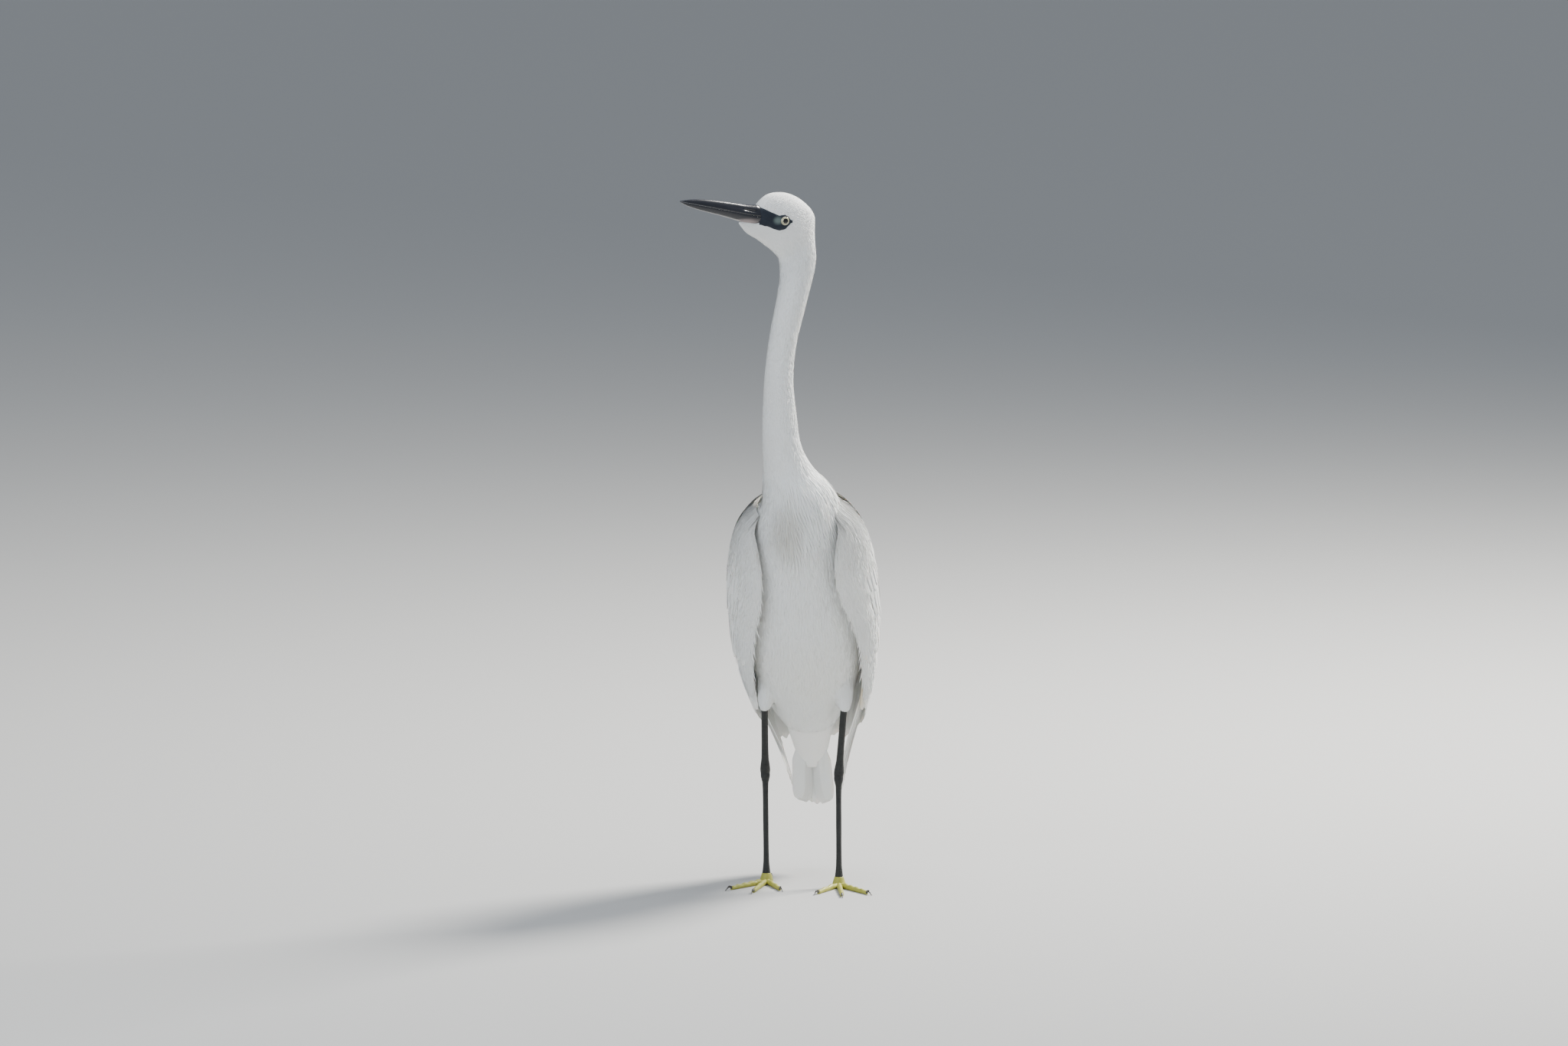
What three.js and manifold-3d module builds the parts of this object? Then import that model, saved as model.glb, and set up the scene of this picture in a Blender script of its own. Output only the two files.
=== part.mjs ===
// A little egret at life size, standing alert with its neck stretched up and its head turned to its right.
// Lengths are in millimetres and angles in degrees. While it is built the bird faces -Y, its left side
// is +X and its feet stand on z = 0. At the end the whole bird is turned a little and set on its origin.

import * as THREE from "three";
import Module from "manifold-3d";

const wasm = await Module();
wasm.setup();

// Driving dimensions
const GAP = 0.3;
// The solids are simplified by no more than this.
const FINEST = 0.02;
const BODY_TURN = -5.5;
const SHOULDER = new THREE.Vector3(0, -52, 350);
const BODY_LEAN = 28.1;
const TAIL_ROOT = 235;
const TAIL_TIP = 329;
const NECK_FOOT = 262;
const NECK_MIDDLE = 380;
const NECK_TOP = 474;
const HEAD_CENTRE = new THREE.Vector3(-2.9, -60.7, 620.2);
const HEAD_TURN = 49.5;
const BILL_ROOT = 42;
const BILL_LENGTH = 86;
const BILL_RISE = 12.15;
const EYE_RADIUS = 5.6;
const TIBIA_RADIUS = 3.1;
const TARSUS_RADIUS = 2.7;
const FOOT_HEIGHT = 10;
const TOE_RADIUS = 2.5;

const AROUND_BODY = 26;
const AROUND_HEAD = 22;
const AROUND_LEG = 10;

const radians = THREE.MathUtils.degToRad;
const { lerp, clamp } = THREE.MathUtils;

// A smooth curve through rows of [place, value, value, ...]: it gives the values at any place.
function through(rows) {
  const slopes = rows.map((row, i) => {
    const before = rows[Math.max(i - 1, 0)];
    const after = rows[Math.min(i + 1, rows.length - 1)];
    return row.map((value, k) => (after[k] - before[k]) / (after[0] - before[0]));
  });
  return (place) => {
    const x = clamp(place, rows[0][0], rows[rows.length - 1][0]);
    let i = rows.findIndex((row) => row[0] >= x) - 1;
    i = Math.max(i, 0);
    const span = rows[i + 1][0] - rows[i][0];
    const u = (x - rows[i][0]) / span;
    const ease = u * u * (3 - 2 * u);
    return rows[i].slice(1).map((value, k) => {
      const start = slopes[i][k + 1] * span * u * (1 - u) * (1 - u);
      const end = slopes[i + 1][k + 1] * span * u * u * (u - 1);
      return lerp(value, rows[i + 1][k + 1], ease) + start + end;
    });
  };
}

// Evenly spaced numbers from one end to the other, both included.
function steps(from, to, count) {
  return Array.from({ length: count + 1 }, (_, i) => lerp(from, to, i / count));
}

// A closed geometry through rings of points. A ring of one point is a tip, and the first and last rings
// are closed with a fan round their middle.
function loft(rings) {
  const points = [];
  const faces = [];
  const starts = rings.map((ring) => {
    const start = points.length;
    points.push(...ring);
    return start;
  });
  const n = Math.max(...rings.map((ring) => ring.length));
  const fan = (start, tip, outward) => {
    for (let k = 0; k < n; k += 1) {
      const next = (k + 1) % n;
      faces.push(outward ? [tip, start + k, start + next] : [tip, start + next, start + k]);
    }
  };
  for (let r = 0; r + 1 < rings.length; r += 1) {
    if (rings[r].length === 1) {
      fan(starts[r + 1], starts[r], false);
    } else if (rings[r + 1].length === 1) {
      fan(starts[r], starts[r + 1], true);
    } else {
      for (let k = 0; k < n; k += 1) {
        const next = (k + 1) % n;
        const [a, b] = [starts[r] + k, starts[r] + next];
        const [c, d] = [starts[r + 1] + k, starts[r + 1] + next];
        faces.push([a, d, c], [a, b, d]);
      }
    }
  }
  for (const [r, outward] of [[0, false], [rings.length - 1, true]]) {
    if (rings[r].length > 1) {
      const middle = rings[r].reduce((sum, p) => sum.add(p), new THREE.Vector3()).divideScalar(n);
      points.push(middle);
      fan(starts[r], points.length - 1, outward);
    }
  }
  const geometry = new THREE.BufferGeometry().setFromPoints(points);
  geometry.setIndex(faces.flat());
  return geometry;
}

// The closed geometry as a solid with its faces pointing out.
function solid(geometry) {
  const vertProperties = new Float32Array(geometry.getAttribute("position").array);
  const triVerts = new Uint32Array(geometry.index.array);
  const made = new wasm.Manifold(new wasm.Mesh({ numProp: 3, vertProperties, triVerts }));
  if (made.volume() > 0) {
    return made;
  }
  for (let i = 0; i < triVerts.length; i += 3) {
    [triVerts[i + 1], triVerts[i + 2]] = [triVerts[i + 2], triVerts[i + 1]];
  }
  return new wasm.Manifold(new wasm.Mesh({ numProp: 3, vertProperties, triVerts }));
}

function joined(pieces) {
  return pieces.reduce((sum, piece) => sum.add(piece));
}

const bird = new THREE.Group();

// Adds the largest closed body of a solid to the bird as a named mesh.
function add(name, material, body) {
  const largest = body.simplify(FINEST).decompose().sort((a, b) => b.volume() - a.volume())[0];
  const mesh = largest.getMesh();
  const geometry = new THREE.BufferGeometry();
  geometry.setAttribute("position", new THREE.BufferAttribute(mesh.vertProperties, 3));
  geometry.setIndex(new THREE.BufferAttribute(mesh.triVerts, 1));
  geometry.computeVertexNormals();
  const piece = new THREE.Mesh(geometry, material);
  piece.name = name;
  bird.add(piece);
}

const finish = (color, roughness) => new THREE.MeshStandardMaterial({ color, roughness, metalness: 0 });
const plumage = finish(0xf2f2ee, 0.8);
const horn = finish(0x1c1e22, 0.35);
const legSkin = finish(0x1f2122, 0.55);
const footSkin = finish(0x9aa02e, 0.6);
const clawHorn = finish(0x2a2722, 0.4);
const iris = finish(0xd8cfa0, 0.1);

// Torso and neck
// One smooth form runs from the root of the tail up to the head. Each row is the way up it, its centre
// across, fore and aft and in height, its half width, and its depth to the front and to the back.
const bodyForm = through([
  [0, 0, 58.7, 142.7, 24, 18, 12],
  [20, 0, 49.3, 160.4, 35, 31, 18],
  [45, 0, 37.5, 182.4, 46, 42.5, 26],
  [75, 0, 23.4, 208.9, 53.5, 50.5, 33],
  [105, 0, 9.2, 235.3, 57, 54.5, 38],
  [135, 0, -4.9, 261.8, 57.5, 56, 41],
  [165, 0, -19, 288.3, 55.5, 54.5, 42.5],
  [195, 0, -33.2, 314.7, 51, 51, 42],
  [223, 0, -46.3, 339.4, 45.5, 46, 40],
  [249, -1, -56.5, 362, 37, 38, 35],
  [274, -8.5, -61.5, 385, 26.5, 28.5, 27],
  [300, -14, -67.2, 410, 20.2, 21.5, 22],
  [331, -15.7, -71.5, 440, 17.6, 18.5, 19],
  [366, -16.3, -73, 475, 15, 16.5, 16.5],
  [401, -13, -69.5, 509, 14.3, 16, 16],
  [436, -6.2, -62.5, 543, 15, 16.5, 16.5],
  [469, -0.9, -57, 575.5, 16, 17, 17],
  [500, -0.6, -56.5, 606, 15.8, 16, 17],
]);

// The body's centre at a place on the way up, and its directions across and towards the back.
function bodyFrame(way) {
  const [x, y, z] = bodyForm(way);
  const [x0, y0, z0] = bodyForm(way - 1);
  const [x1, y1, z1] = bodyForm(way + 1);
  const up = new THREE.Vector3(x1 - x0, y1 - y0, z1 - z0).normalize();
  const across = new THREE.Vector3(1, 0, 0).addScaledVector(up, -up.x).normalize();
  const back = up.clone().cross(across);
  return { centre: new THREE.Vector3(x, y, z), across, back };
}

function bodyRing(way, grow = 0) {
  const { centre, across, back } = bodyFrame(way);
  const [, , , width, front, rear] = bodyForm(way);
  return steps(0, 360, AROUND_BODY).slice(0, -1).map((angle) => {
    const [c, s] = [Math.cos(radians(angle)), Math.sin(radians(angle))];
    const depth = (s > 0 ? rear : front) + grow;
    return centre.clone().addScaledVector(across, c * (width + grow)).addScaledVector(back, s * depth);
  });
}

function bodyLength(from, to, count, grow = 0) {
  return loft(steps(from, to, count).map((way) => bodyRing(way, grow)));
}

const grownTorso = solid(bodyLength(0, NECK_FOOT, 14, GAP + 0.1));
add("torso", plumage, solid(bodyLength(0, NECK_FOOT, 14)));
add("neck_lower", plumage, solid(bodyLength(NECK_FOOT + GAP, NECK_MIDDLE, 9)));
add("neck_upper", plumage, solid(bodyLength(NECK_MIDDLE + GAP, NECK_TOP, 7)));

// Head
// It is set out in its own directions: forward to the bill, to the bird's left, and up.
const headForward = new THREE.Vector3(-Math.sin(radians(HEAD_TURN)), -Math.cos(radians(HEAD_TURN)), 0);
const headLeft = new THREE.Vector3(0, 0, 1).cross(headForward);

function onHead(forward, left, up) {
  const point = HEAD_CENTRE.clone().addScaledVector(headForward, forward);
  point.addScaledVector(headLeft, left);
  point.z += up;
  return point;
}

// Rows of the way forward, half width, crown, widest height and throat.
const headForm = through([
  [-21, 3.5, -1, -6, -12],
  [-17.5, 9, 7.5, -5, -21],
  [-10, 14, 15, -4, -33],
  [0, 16.2, 21.8, -2, -39],
  [10, 16.6, 25.6, -1, -38.5],
  [19, 15.6, 26.6, 0, -33.5],
  [27, 13.2, 26, 2, -27],
  [34, 10.6, 23.2, 4, -22.3],
  [BILL_ROOT, 8.3, 16.6, 5, -16.9],
]);
const ROUNDNESS = 0.9;

function squircle(angle) {
  const [c, s] = [Math.cos(radians(angle)), Math.sin(radians(angle))];
  return [Math.sign(c) * Math.abs(c) ** ROUNDNESS, Math.sign(s) * Math.abs(s) ** ROUNDNESS];
}

function headRing(forward) {
  const [width, crown, widest, throat] = headForm(forward);
  return steps(0, 360, AROUND_HEAD).slice(0, -1).map((angle) => {
    const [c, s] = squircle(angle);
    return onHead(forward, width * c, widest + (s > 0 ? crown - widest : widest - throat) * s);
  });
}

// The bill is set out along its own line, which rises from its root to the tip. Each row is the share of
// its length, half width, height of the upper half above the mouth line and depth of the lower half.
const billForm = through([
  [0, 7.8, 10.9, 8.3],
  [0.18, 6.6, 8.9, 7.5],
  [0.32, 5.7, 8.3, 6.5],
  [0.46, 5, 7.8, 5.6],
  [0.6, 4.3, 7, 5],
  [0.75, 3.4, 5.7, 4.2],
  [0.89, 2.1, 3.4, 2.8],
  [1, 0.5, 0.7, 0.5],
]);
const BILL_HEIGHT = 4.9;
const billDirection = [Math.cos(radians(BILL_RISE)), Math.sin(radians(BILL_RISE))];

function onBill(along, left, above) {
  const forward = BILL_ROOT + along * billDirection[0] - above * billDirection[1];
  return onHead(forward, left, BILL_HEIGHT + along * billDirection[1] + above * billDirection[0]);
}

// Half of the bill, above the mouth line or below it, as a closed geometry.
function billHalf(above, from, to, grow = 0) {
  const AROUND_HALF = 10;
  return loft(steps(from, to, 9).map((along) => {
    const [width, upper, lower] = billForm(along / BILL_LENGTH);
    const height = (above ? upper : -lower) + (above ? grow : -grow);
    const edge = (above ? GAP / 2 : -GAP / 2) - (above ? grow : -grow);
    return steps(0, 180, AROUND_HALF).map((angle) => {
      const [c, s] = [Math.cos(radians(angle)), Math.sin(radians(angle))];
      const left = (width + grow) * Math.sign(c) * Math.abs(c) ** 0.85;
      return onBill(along, left, lerp(edge, height, s ** 0.9));
    });
  }));
}

// The nostril is a slit in each side of the upper half.
function nostril(side) {
  const slit = new THREE.SphereGeometry(1, 10, 6).scale(6.2, 1.5, 0.8);
  slit.rotateY(-radians(BILL_RISE));
  slit.rotateZ(Math.atan2(headForward.y, headForward.x));
  const place = onBill(12.3, side * 6.4, 3.9);
  return solid(closed(slit.translate(place.x, place.y, place.z)));
}

// A three.js primitive with its shared points merged.
function closed(geometry) {
  const position = geometry.getAttribute("position");
  const index = geometry.index ? geometry.index.array : [...Array(position.count).keys()];
  const found = new Map();
  const points = [];
  const same = [];
  for (let i = 0; i < position.count; i += 1) {
    const p = new THREE.Vector3().fromBufferAttribute(position, i);
    const key = [p.x, p.y, p.z].map((value) => Math.round(value * 1e3)).join();
    if (!found.has(key)) {
      found.set(key, points.length);
      points.push(p);
    }
    same.push(found.get(key));
  }
  const faces = [];
  for (let i = 0; i < index.length; i += 3) {
    const [a, b, c] = [same[index[i]], same[index[i + 1]], same[index[i + 2]]];
    if (a !== b && b !== c && c !== a) {
      faces.push(a, b, c);
    }
  }
  return new THREE.BufferGeometry().setFromPoints(points).setIndex(faces);
}

add("bill_upper", horn, solid(billHalf(true, GAP, BILL_LENGTH)).subtract(nostril(1)).subtract(nostril(-1)));
add("bill_lower", horn, solid(billHalf(false, GAP, BILL_LENGTH)));

// Eyes
// Each looks out to its side and a little forward, inside a raised ring of bare skin.
const EYE_FORWARD = 19.7;
const EYE_LEFT = 10.9;
const EYE_UP = 0.6;
const EYE_AIM = 14;
const LID_RADIUS = 4.7;
const LID_THICKNESS = 1;

function eyeDirection(side) {
  const direction = headForward.clone().multiplyScalar(Math.sin(radians(EYE_AIM)));
  return direction.addScaledVector(headLeft, side * Math.cos(radians(EYE_AIM)));
}

function ball(side, radius) {
  const place = onHead(EYE_FORWARD, side * EYE_LEFT, EYE_UP);
  return solid(closed(new THREE.SphereGeometry(radius, 14, 9).translate(place.x, place.y, place.z)));
}

function lids(side) {
  const ring = new THREE.TorusGeometry(LID_RADIUS, LID_THICKNESS, 6, 16);
  const direction = eyeDirection(side);
  ring.applyQuaternion(new THREE.Quaternion().setFromUnitVectors(new THREE.Vector3(0, 0, 1), direction));
  const reach = Math.sqrt(EYE_RADIUS ** 2 - LID_RADIUS ** 2) + 0.5;
  const place = onHead(EYE_FORWARD, side * EYE_LEFT, EYE_UP).addScaledVector(direction, reach);
  return solid(closed(ring.translate(place.x, place.y, place.z)));
}

add("eye_left", iris, ball(1, EYE_RADIUS));
add("eye_right", iris, ball(-1, EYE_RADIUS));

// The feathers of the chin run forward under the lower half of the bill to a point.
const chinForm = through([
  [BILL_ROOT - 6, 8.2, 3, -19.5],
  [BILL_ROOT, 7.2, 2.5, -16.2],
  [BILL_ROOT + 8, 5.2, 3, -12.6],
  [BILL_ROOT + 15, 3.2, 3, -7.2],
  [BILL_ROOT + 22, 1, 2.5, 0],
]);

function chinRing(forward) {
  const [width, top, bottom] = chinForm(forward);
  return steps(0, 360, 14).slice(0, -1).map((angle) => {
    const [c, s] = squircle(angle);
    return onHead(forward, width * c, (top + bottom) / 2 + ((top - bottom) / 2) * s);
  });
}

// The line of the mouth runs back from the bill to below the eye.
function mouthLine() {
  const corners = [BILL_ROOT - 16, BILL_ROOT + 1].map((forward) =>
    [[-20, -0.45], [20, -0.45], [20, 0.45], [-20, 0.45]].map(([left, up]) =>
      onHead(forward, left, BILL_HEIGHT + (forward - BILL_ROOT) * 0.42 + up),
    ),
  );
  const inside = steps(BILL_ROOT - 20, BILL_ROOT + 1, 4).map((forward) => {
    const [width, , widest] = headForm(forward);
    return steps(0, 360, 12).slice(0, -1).map((angle) => {
      const [c, s] = [Math.cos(radians(angle)), Math.sin(radians(angle))];
      return onHead(forward, (width - 1.4) * c, widest + 30 * s);
    });
  });
  return solid(loft(corners)).subtract(solid(loft(inside)));
}

const skull = solid(loft([...steps(-21, BILL_ROOT, 15).map(headRing)]));
const neckStub = solid(bodyLength(NECK_TOP + GAP, 500, 2));
const chin = solid(loft(steps(BILL_ROOT - 6, BILL_ROOT + 22, 5).map(chinRing)));
const belowHead = solid(bodyLength(NECK_TOP - 30, NECK_TOP + GAP, 3, 12));
add(
  "head",
  plumage,
  joined([skull, chin, lids(1), lids(-1)])
    .subtract(belowHead)
    .add(neckStub)
    .subtract(mouthLine())
    .subtract(solid(billHalf(true, 0, BILL_LENGTH, GAP)))
    .subtract(solid(billHalf(false, 0, BILL_LENGTH, GAP)))
    .subtract(ball(1, EYE_RADIUS + GAP))
    .subtract(ball(-1, EYE_RADIUS + GAP)),
);

// Wings
// Both are folded against the body. They are set out by the distance down the body's line from the
// shoulder, and by an angle about that line: -90 is the breast, 0 the side and 90 the back.
const lineDown = new THREE.Vector3(0, Math.sin(radians(BODY_LEAN)), -Math.cos(radians(BODY_LEAN)));
const lineBack = new THREE.Vector3(0, Math.cos(radians(BODY_LEAN)), Math.sin(radians(BODY_LEAN)));

// Rows of the distance down, half width, depth to the back, depth to the front, and the angles of the
// front and back edges.
const wingForm = through([
  [-6, 42, 42, 42, -20, 20],
  [4, 51, 47, 46, -38, 44],
  [18, 58, 49.5, 51, -50, 60],
  [40, 63.8, 51.5, 57, -56, 74],
  [70, 68.2, 52, 60.5, -53, 82],
  [100, 70, 50.5, 61, -47, 85],
  [130, 69.6, 47.5, 59.5, -42, 86.5],
  [160, 67, 43, 55.5, -37, 87],
  [185, 62.5, 37.5, 49, -31, 87],
  [205, 57, 32.5, 42, -25, 86],
  [229, 49, 27, 33, -17, 85],
  [250, 41.5, 23, 26, -11, 82],
  [275, 33.5, 18.5, 19, -6, 76],
  [295, 29, 15.5, 14, -4, 62],
  [312, 26.5, 13, 11, -2, 40],
]);
const WING_SPREAD = 4;

// A point on a wing's outer form, with a height above it.
function onWing(side, down, angle, height) {
  const [width, back, front] = wingForm(down);
  const [c, s] = [Math.cos(radians(angle)), Math.sin(radians(angle))];
  const depth = s > 0 ? back : front;
  const spread = side * WING_SPREAD * clamp((down - 150) / 160, 0, 1);
  const point = SHOULDER.clone().addScaledVector(lineDown, down);
  point.addScaledVector(lineBack, s * (depth + height));
  point.x = side * c * (width + spread + height);
  return point;
}

// How far the left wing's front edge stands back from the breast, at the middle of its length.
const WING_OPEN = 12;

function frontOpening(side, down) {
  return side > 0 ? WING_OPEN * Math.sin(Math.PI * clamp(down / 240, 0, 1)) : 0;
}

// The arm, hand and small coverts, as one shell that lies on the flank. Rows of the distance down, how
// far its outer face lies under the wing's outer form, and its thickness.
const CORE_END = 152;
const coreForm = through([
  [-6, 0.5, 2.5],
  [4, 0.6, 5],
  [20, 0.9, 7],
  [44, 1.2, 8.5],
  [60, 2.4, 8],
  [82, 3.2, 8],
  [105, 4.6, 7.5],
  [126, 5.4, 6.5],
  [CORE_END, 6, 5.5],
]);

function wingCore(side) {
  const ACROSS = 8;
  const downs = [-6, 0, 8, 20, 36, 54, 74, 96, 122, CORE_END];
  const face = (depthAt) =>
    downs.map((down) => {
      const [, , , front, back] = wingForm(down);
      const edge = front + frontOpening(side, down);
      return steps(0, 1, ACROSS).map((v) => onWing(side, down, lerp(edge, back, v), -depthAt(down, v)));
    });
  const under = (down) => coreForm(down)[0];
  const thick = (down, v) => 0.8 + coreForm(down)[1] * Math.sin(Math.PI * clamp(v, 0.06, 0.97) ** 0.7);
  return solid(sheet(face(under), face((down, v) => under(down) + thick(down, v))));
}

// A thin closed sheet between rows of points on its outer and inner face, each face split alike.
function sheet(outer, inner) {
  const [rows, columns] = [outer.length, outer[0].length];
  const at = (r, k) => r * columns + k;
  const under = rows * columns;
  const faces = [];
  const wall = (a, b) => faces.push([a, b, b + under], [a, b + under, a + under]);
  for (let r = 0; r + 1 < rows; r += 1) {
    for (let k = 0; k + 1 < columns; k += 1) {
      const [a, b, c, d] = [at(r, k), at(r, k + 1), at(r + 1, k + 1), at(r + 1, k)];
      faces.push([a, b, c], [a, c, d]);
      faces.push([a + under, c + under, b + under], [a + under, d + under, c + under]);
    }
    wall(at(r, 0), at(r + 1, 0));
    wall(at(r + 1, columns - 1), at(r, columns - 1));
  }
  for (let k = 0; k + 1 < columns; k += 1) {
    wall(at(0, k + 1), at(0, k));
    wall(at(rows - 1, k), at(rows - 1, k + 1));
  }
  return new THREE.BufferGeometry().setFromPoints([...outer.flat(), ...inner.flat()]).setIndex(faces.flat());
}

// Feathers
// Each is a thin vane, narrow at the root and widest past its middle, with a round or a pointed tip.
const VANE_THICKNESS = 0.62;
const ROUND_TIP = [[0, 0.55], [0.4, 0.96], [0.82, 0.9], [1, 0.36]];
const POINTED_TIP = [[0, 0.45], [0.4, 0.95], [0.78, 0.8], [1, 0.2]];
const LAST_ANGLE = 88;

// The wing's tiers, each from the breast side to the back: how many feathers, their roots' and tips'
// places down and round, half width, tilt, and how high their root, middle and tip lie. A feather on the
// back side lies over the next one, by its tilt or by the step from one to the next.
const tiers = [
  {
    feathers: 5, root: [136, 132], tip: [312, 286], rootAngle: [-26, 10], tipAngle: [-4, 20],
    half: 8, tilt: 0.02, heights: [-10.6, -10.6, -4.8], step: 0.95, columns: 2, shape: POINTED_TIP,
  },
  {
    feathers: 7, root: [122, 122], tip: [206, 262], rootAngle: [-40, 42], tipAngle: [-30, 42],
    half: 9.5, tilt: 0.09, heights: [-7.6, -4.6, -1.2], step: 0, columns: 3, shape: ROUND_TIP,
  },
  {
    feathers: 3, root: [98, 98], tip: [258, 268], rootAngle: [56, 77], tipAngle: [34, 76],
    half: 9, tilt: 0.1, heights: [-7, -2.4, -0.4], step: 0, columns: 2, shape: ROUND_TIP,
  },
  {
    feathers: 8, root: [78, 78], tip: [148, 150], rootAngle: [-47, 38], tipAngle: [-41, 38],
    half: 9.8, tilt: 0.07, heights: [-5.4, -2.1, -1.6], step: 0, columns: 2, shape: ROUND_TIP,
  },
  {
    feathers: 8, root: [42, 40], tip: [94, 98], rootAngle: [-50, 36], tipAngle: [-49, 36],
    half: 9.8, tilt: 0.07, heights: [-3.4, 0.1, 0.2], step: 0, columns: 2, shape: ROUND_TIP,
  },
  {
    feathers: 5, root: [12, 28], tip: [118, 168], rootAngle: [47, 79], tipAngle: [46, 77],
    half: 8.5, tilt: 0.12, heights: [-3, 0.6, 0.6], step: 0, columns: 2, shape: POINTED_TIP,
  },
];

function wingFeather(side, tier, i) {
  const v = i / (tier.feathers - 1);
  const [rootHeight, middleHeight, tipHeight] = tier.heights.map((height) => height + i * tier.step);
  const faces = [1, -1].map((face) =>
    tier.shape.map(([u, fullness]) => {
      const down = lerp(lerp(...tier.root, v), lerp(...tier.tip, v), u);
      const centre = lerp(lerp(...tier.rootAngle, v), lerp(...tier.tipAngle, v), u);
      const turned = centre + (1 - v) * frontOpening(side, down);
      const radius = onWing(side, down, turned, 0).distanceTo(
        SHOULDER.clone().addScaledVector(lineDown, down),
      );
      const rise = THREE.MathUtils.smoothstep(u, 0, 0.3);
      const height = lerp(rootHeight, lerp(middleHeight, tipHeight, u * u), rise);
      return steps(-1, 1, tier.columns - 1).map((across) => {
        const reach = across * tier.half * fullness;
        const angle = Math.min(turned + THREE.MathUtils.radToDeg(reach / radius), LAST_ANGLE);
        return onWing(side, down, angle, height - tier.tilt * reach + (face * VANE_THICKNESS) / 2);
      });
    }),
  );
  return solid(sheet(...faces));
}

function wing(side) {
  const feathers = tiers.flatMap((tier) =>
    steps(0, tier.feathers - 1, tier.feathers - 1).map((i) => wingFeather(side, tier, i)),
  );
  return joined([wingCore(side).subtract(grownTorso), ...feathers]).subtract(grownTorso);
}

// Thighs and legs
// The feathered thigh narrows to the bare shank, which meets the tarsus at the ankle.
const legs = [
  { name: "left", side: 1, ankle: [31, 9, 101], foot: [33, -8], turn: 8 },
  { name: "right", side: -1, ankle: [-38, 24, 101], foot: [-35.5, 9], turn: -6 },
];
const KNEE = [28, 22, 214];
const THIGH_END = [37, 6, 161];

// A tube through level rings, each with its centre and its half widths across and fore and aft.
function limb(stations, around) {
  return loft(stations.map(([x, y, z, across, deep]) =>
    steps(0, 360, around).slice(0, -1).map((angle) => {
      const [c, s] = [Math.cos(radians(angle)), Math.sin(radians(angle))];
      return new THREE.Vector3(x + c * across, y + s * deep, z);
    }),
  ));
}

// A station part of the way from one point to another.
function station(from, to, share, across, deep) {
  return [...from.map((value, k) => lerp(value, to[k], share)), across, deep];
}

for (const { name, side, ankle, foot } of legs) {
  const knee = [side * KNEE[0], KNEE[1], KNEE[2]];
  const end = [side * THIGH_END[0], THIGH_END[1], THIGH_END[2]];
  const shankTop = [end[0], end[1], end[2] - GAP];
  const tarsusTop = [ankle[0], ankle[1], ankle[2] - GAP];
  const sole = [foot[0], foot[1], FOOT_HEIGHT + GAP];
  const thigh = [
    station(knee, end, 0, 12, 17),
    station(knee, end, 0.3, 13, 18),
    station(knee, end, 0.55, 11.5, 15),
    station(knee, end, 0.8, 8.5, 10),
    station(knee, end, 0.95, 5.5, 6.2),
    station(knee, end, 1, 4, 4.5),
  ];
  const shank = [
    station(shankTop, ankle, 0, TIBIA_RADIUS, TIBIA_RADIUS * 1.1),
    station(shankTop, ankle, 0.4, TIBIA_RADIUS, TIBIA_RADIUS * 1.1),
    station(shankTop, ankle, 0.8, TIBIA_RADIUS * 1.12, TIBIA_RADIUS * 1.25),
    station(shankTop, ankle, 0.93, TIBIA_RADIUS * 1.5, TIBIA_RADIUS * 1.6),
    station(shankTop, ankle, 1, TIBIA_RADIUS * 1.5, TIBIA_RADIUS * 1.6),
  ];
  const tarsus = [
    station(tarsusTop, sole, 0, TIBIA_RADIUS * 1.5, TIBIA_RADIUS * 1.6),
    station(tarsusTop, sole, 0.05, TIBIA_RADIUS * 1.5, TIBIA_RADIUS * 1.6),
    station(tarsusTop, sole, 0.14, TARSUS_RADIUS * 1.05, TARSUS_RADIUS * 1.4),
    station(tarsusTop, sole, 0.5, TARSUS_RADIUS * 0.95, TARSUS_RADIUS * 1.3),
    station(tarsusTop, sole, 0.85, TARSUS_RADIUS, TARSUS_RADIUS * 1.3),
    station(tarsusTop, sole, 1, TARSUS_RADIUS * 1.4, TARSUS_RADIUS * 1.5),
  ];
  add(`thigh_${name}`, plumage, solid(limb(thigh, 16)).subtract(grownTorso));
  add(`shank_${name}`, legSkin, solid(limb(shank, AROUND_LEG)));
  add(`tarsus_${name}`, legSkin, solid(limb(tarsus, AROUND_LEG)));
  add(`wing_${name}`, plumage, wing(side));
}

// Feet
// Three toes spread forward and one back, all flat on the floor. Each row is the toe's name, its length,
// its direction out from straight ahead, how many joints show, and its claw's length.
const toes = [
  { name: "inner", length: 47, out: -27, joints: 2, claw: 9 },
  { name: "middle", length: 59, out: 0, joints: 3, claw: 9.5 },
  { name: "outer", length: 52, out: 27, joints: 4, claw: 8.5 },
  { name: "hind", length: 31, out: 176, joints: 1, claw: 13 },
];
const TOE_START = 2;
const TOE_TAPER = 0.3;

// A ring round a toe: flat below, round above. The height is above the floor.
function toeRing(point, heading, half, bottom, top) {
  const right = new THREE.Vector3(Math.cos(heading), Math.sin(heading), 0);
  const corner = Math.sin(radians(67.5));
  return steps(22.5, 382.5, 8).slice(0, -1).map((angle) => {
    const share = (1 + Math.sin(radians(angle)) / corner) / 2;
    const place = point.clone().addScaledVector(right, half * Math.cos(radians(angle)));
    place.z = lerp(bottom, top, clamp(share, 0, 1));
    return place;
  });
}

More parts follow.
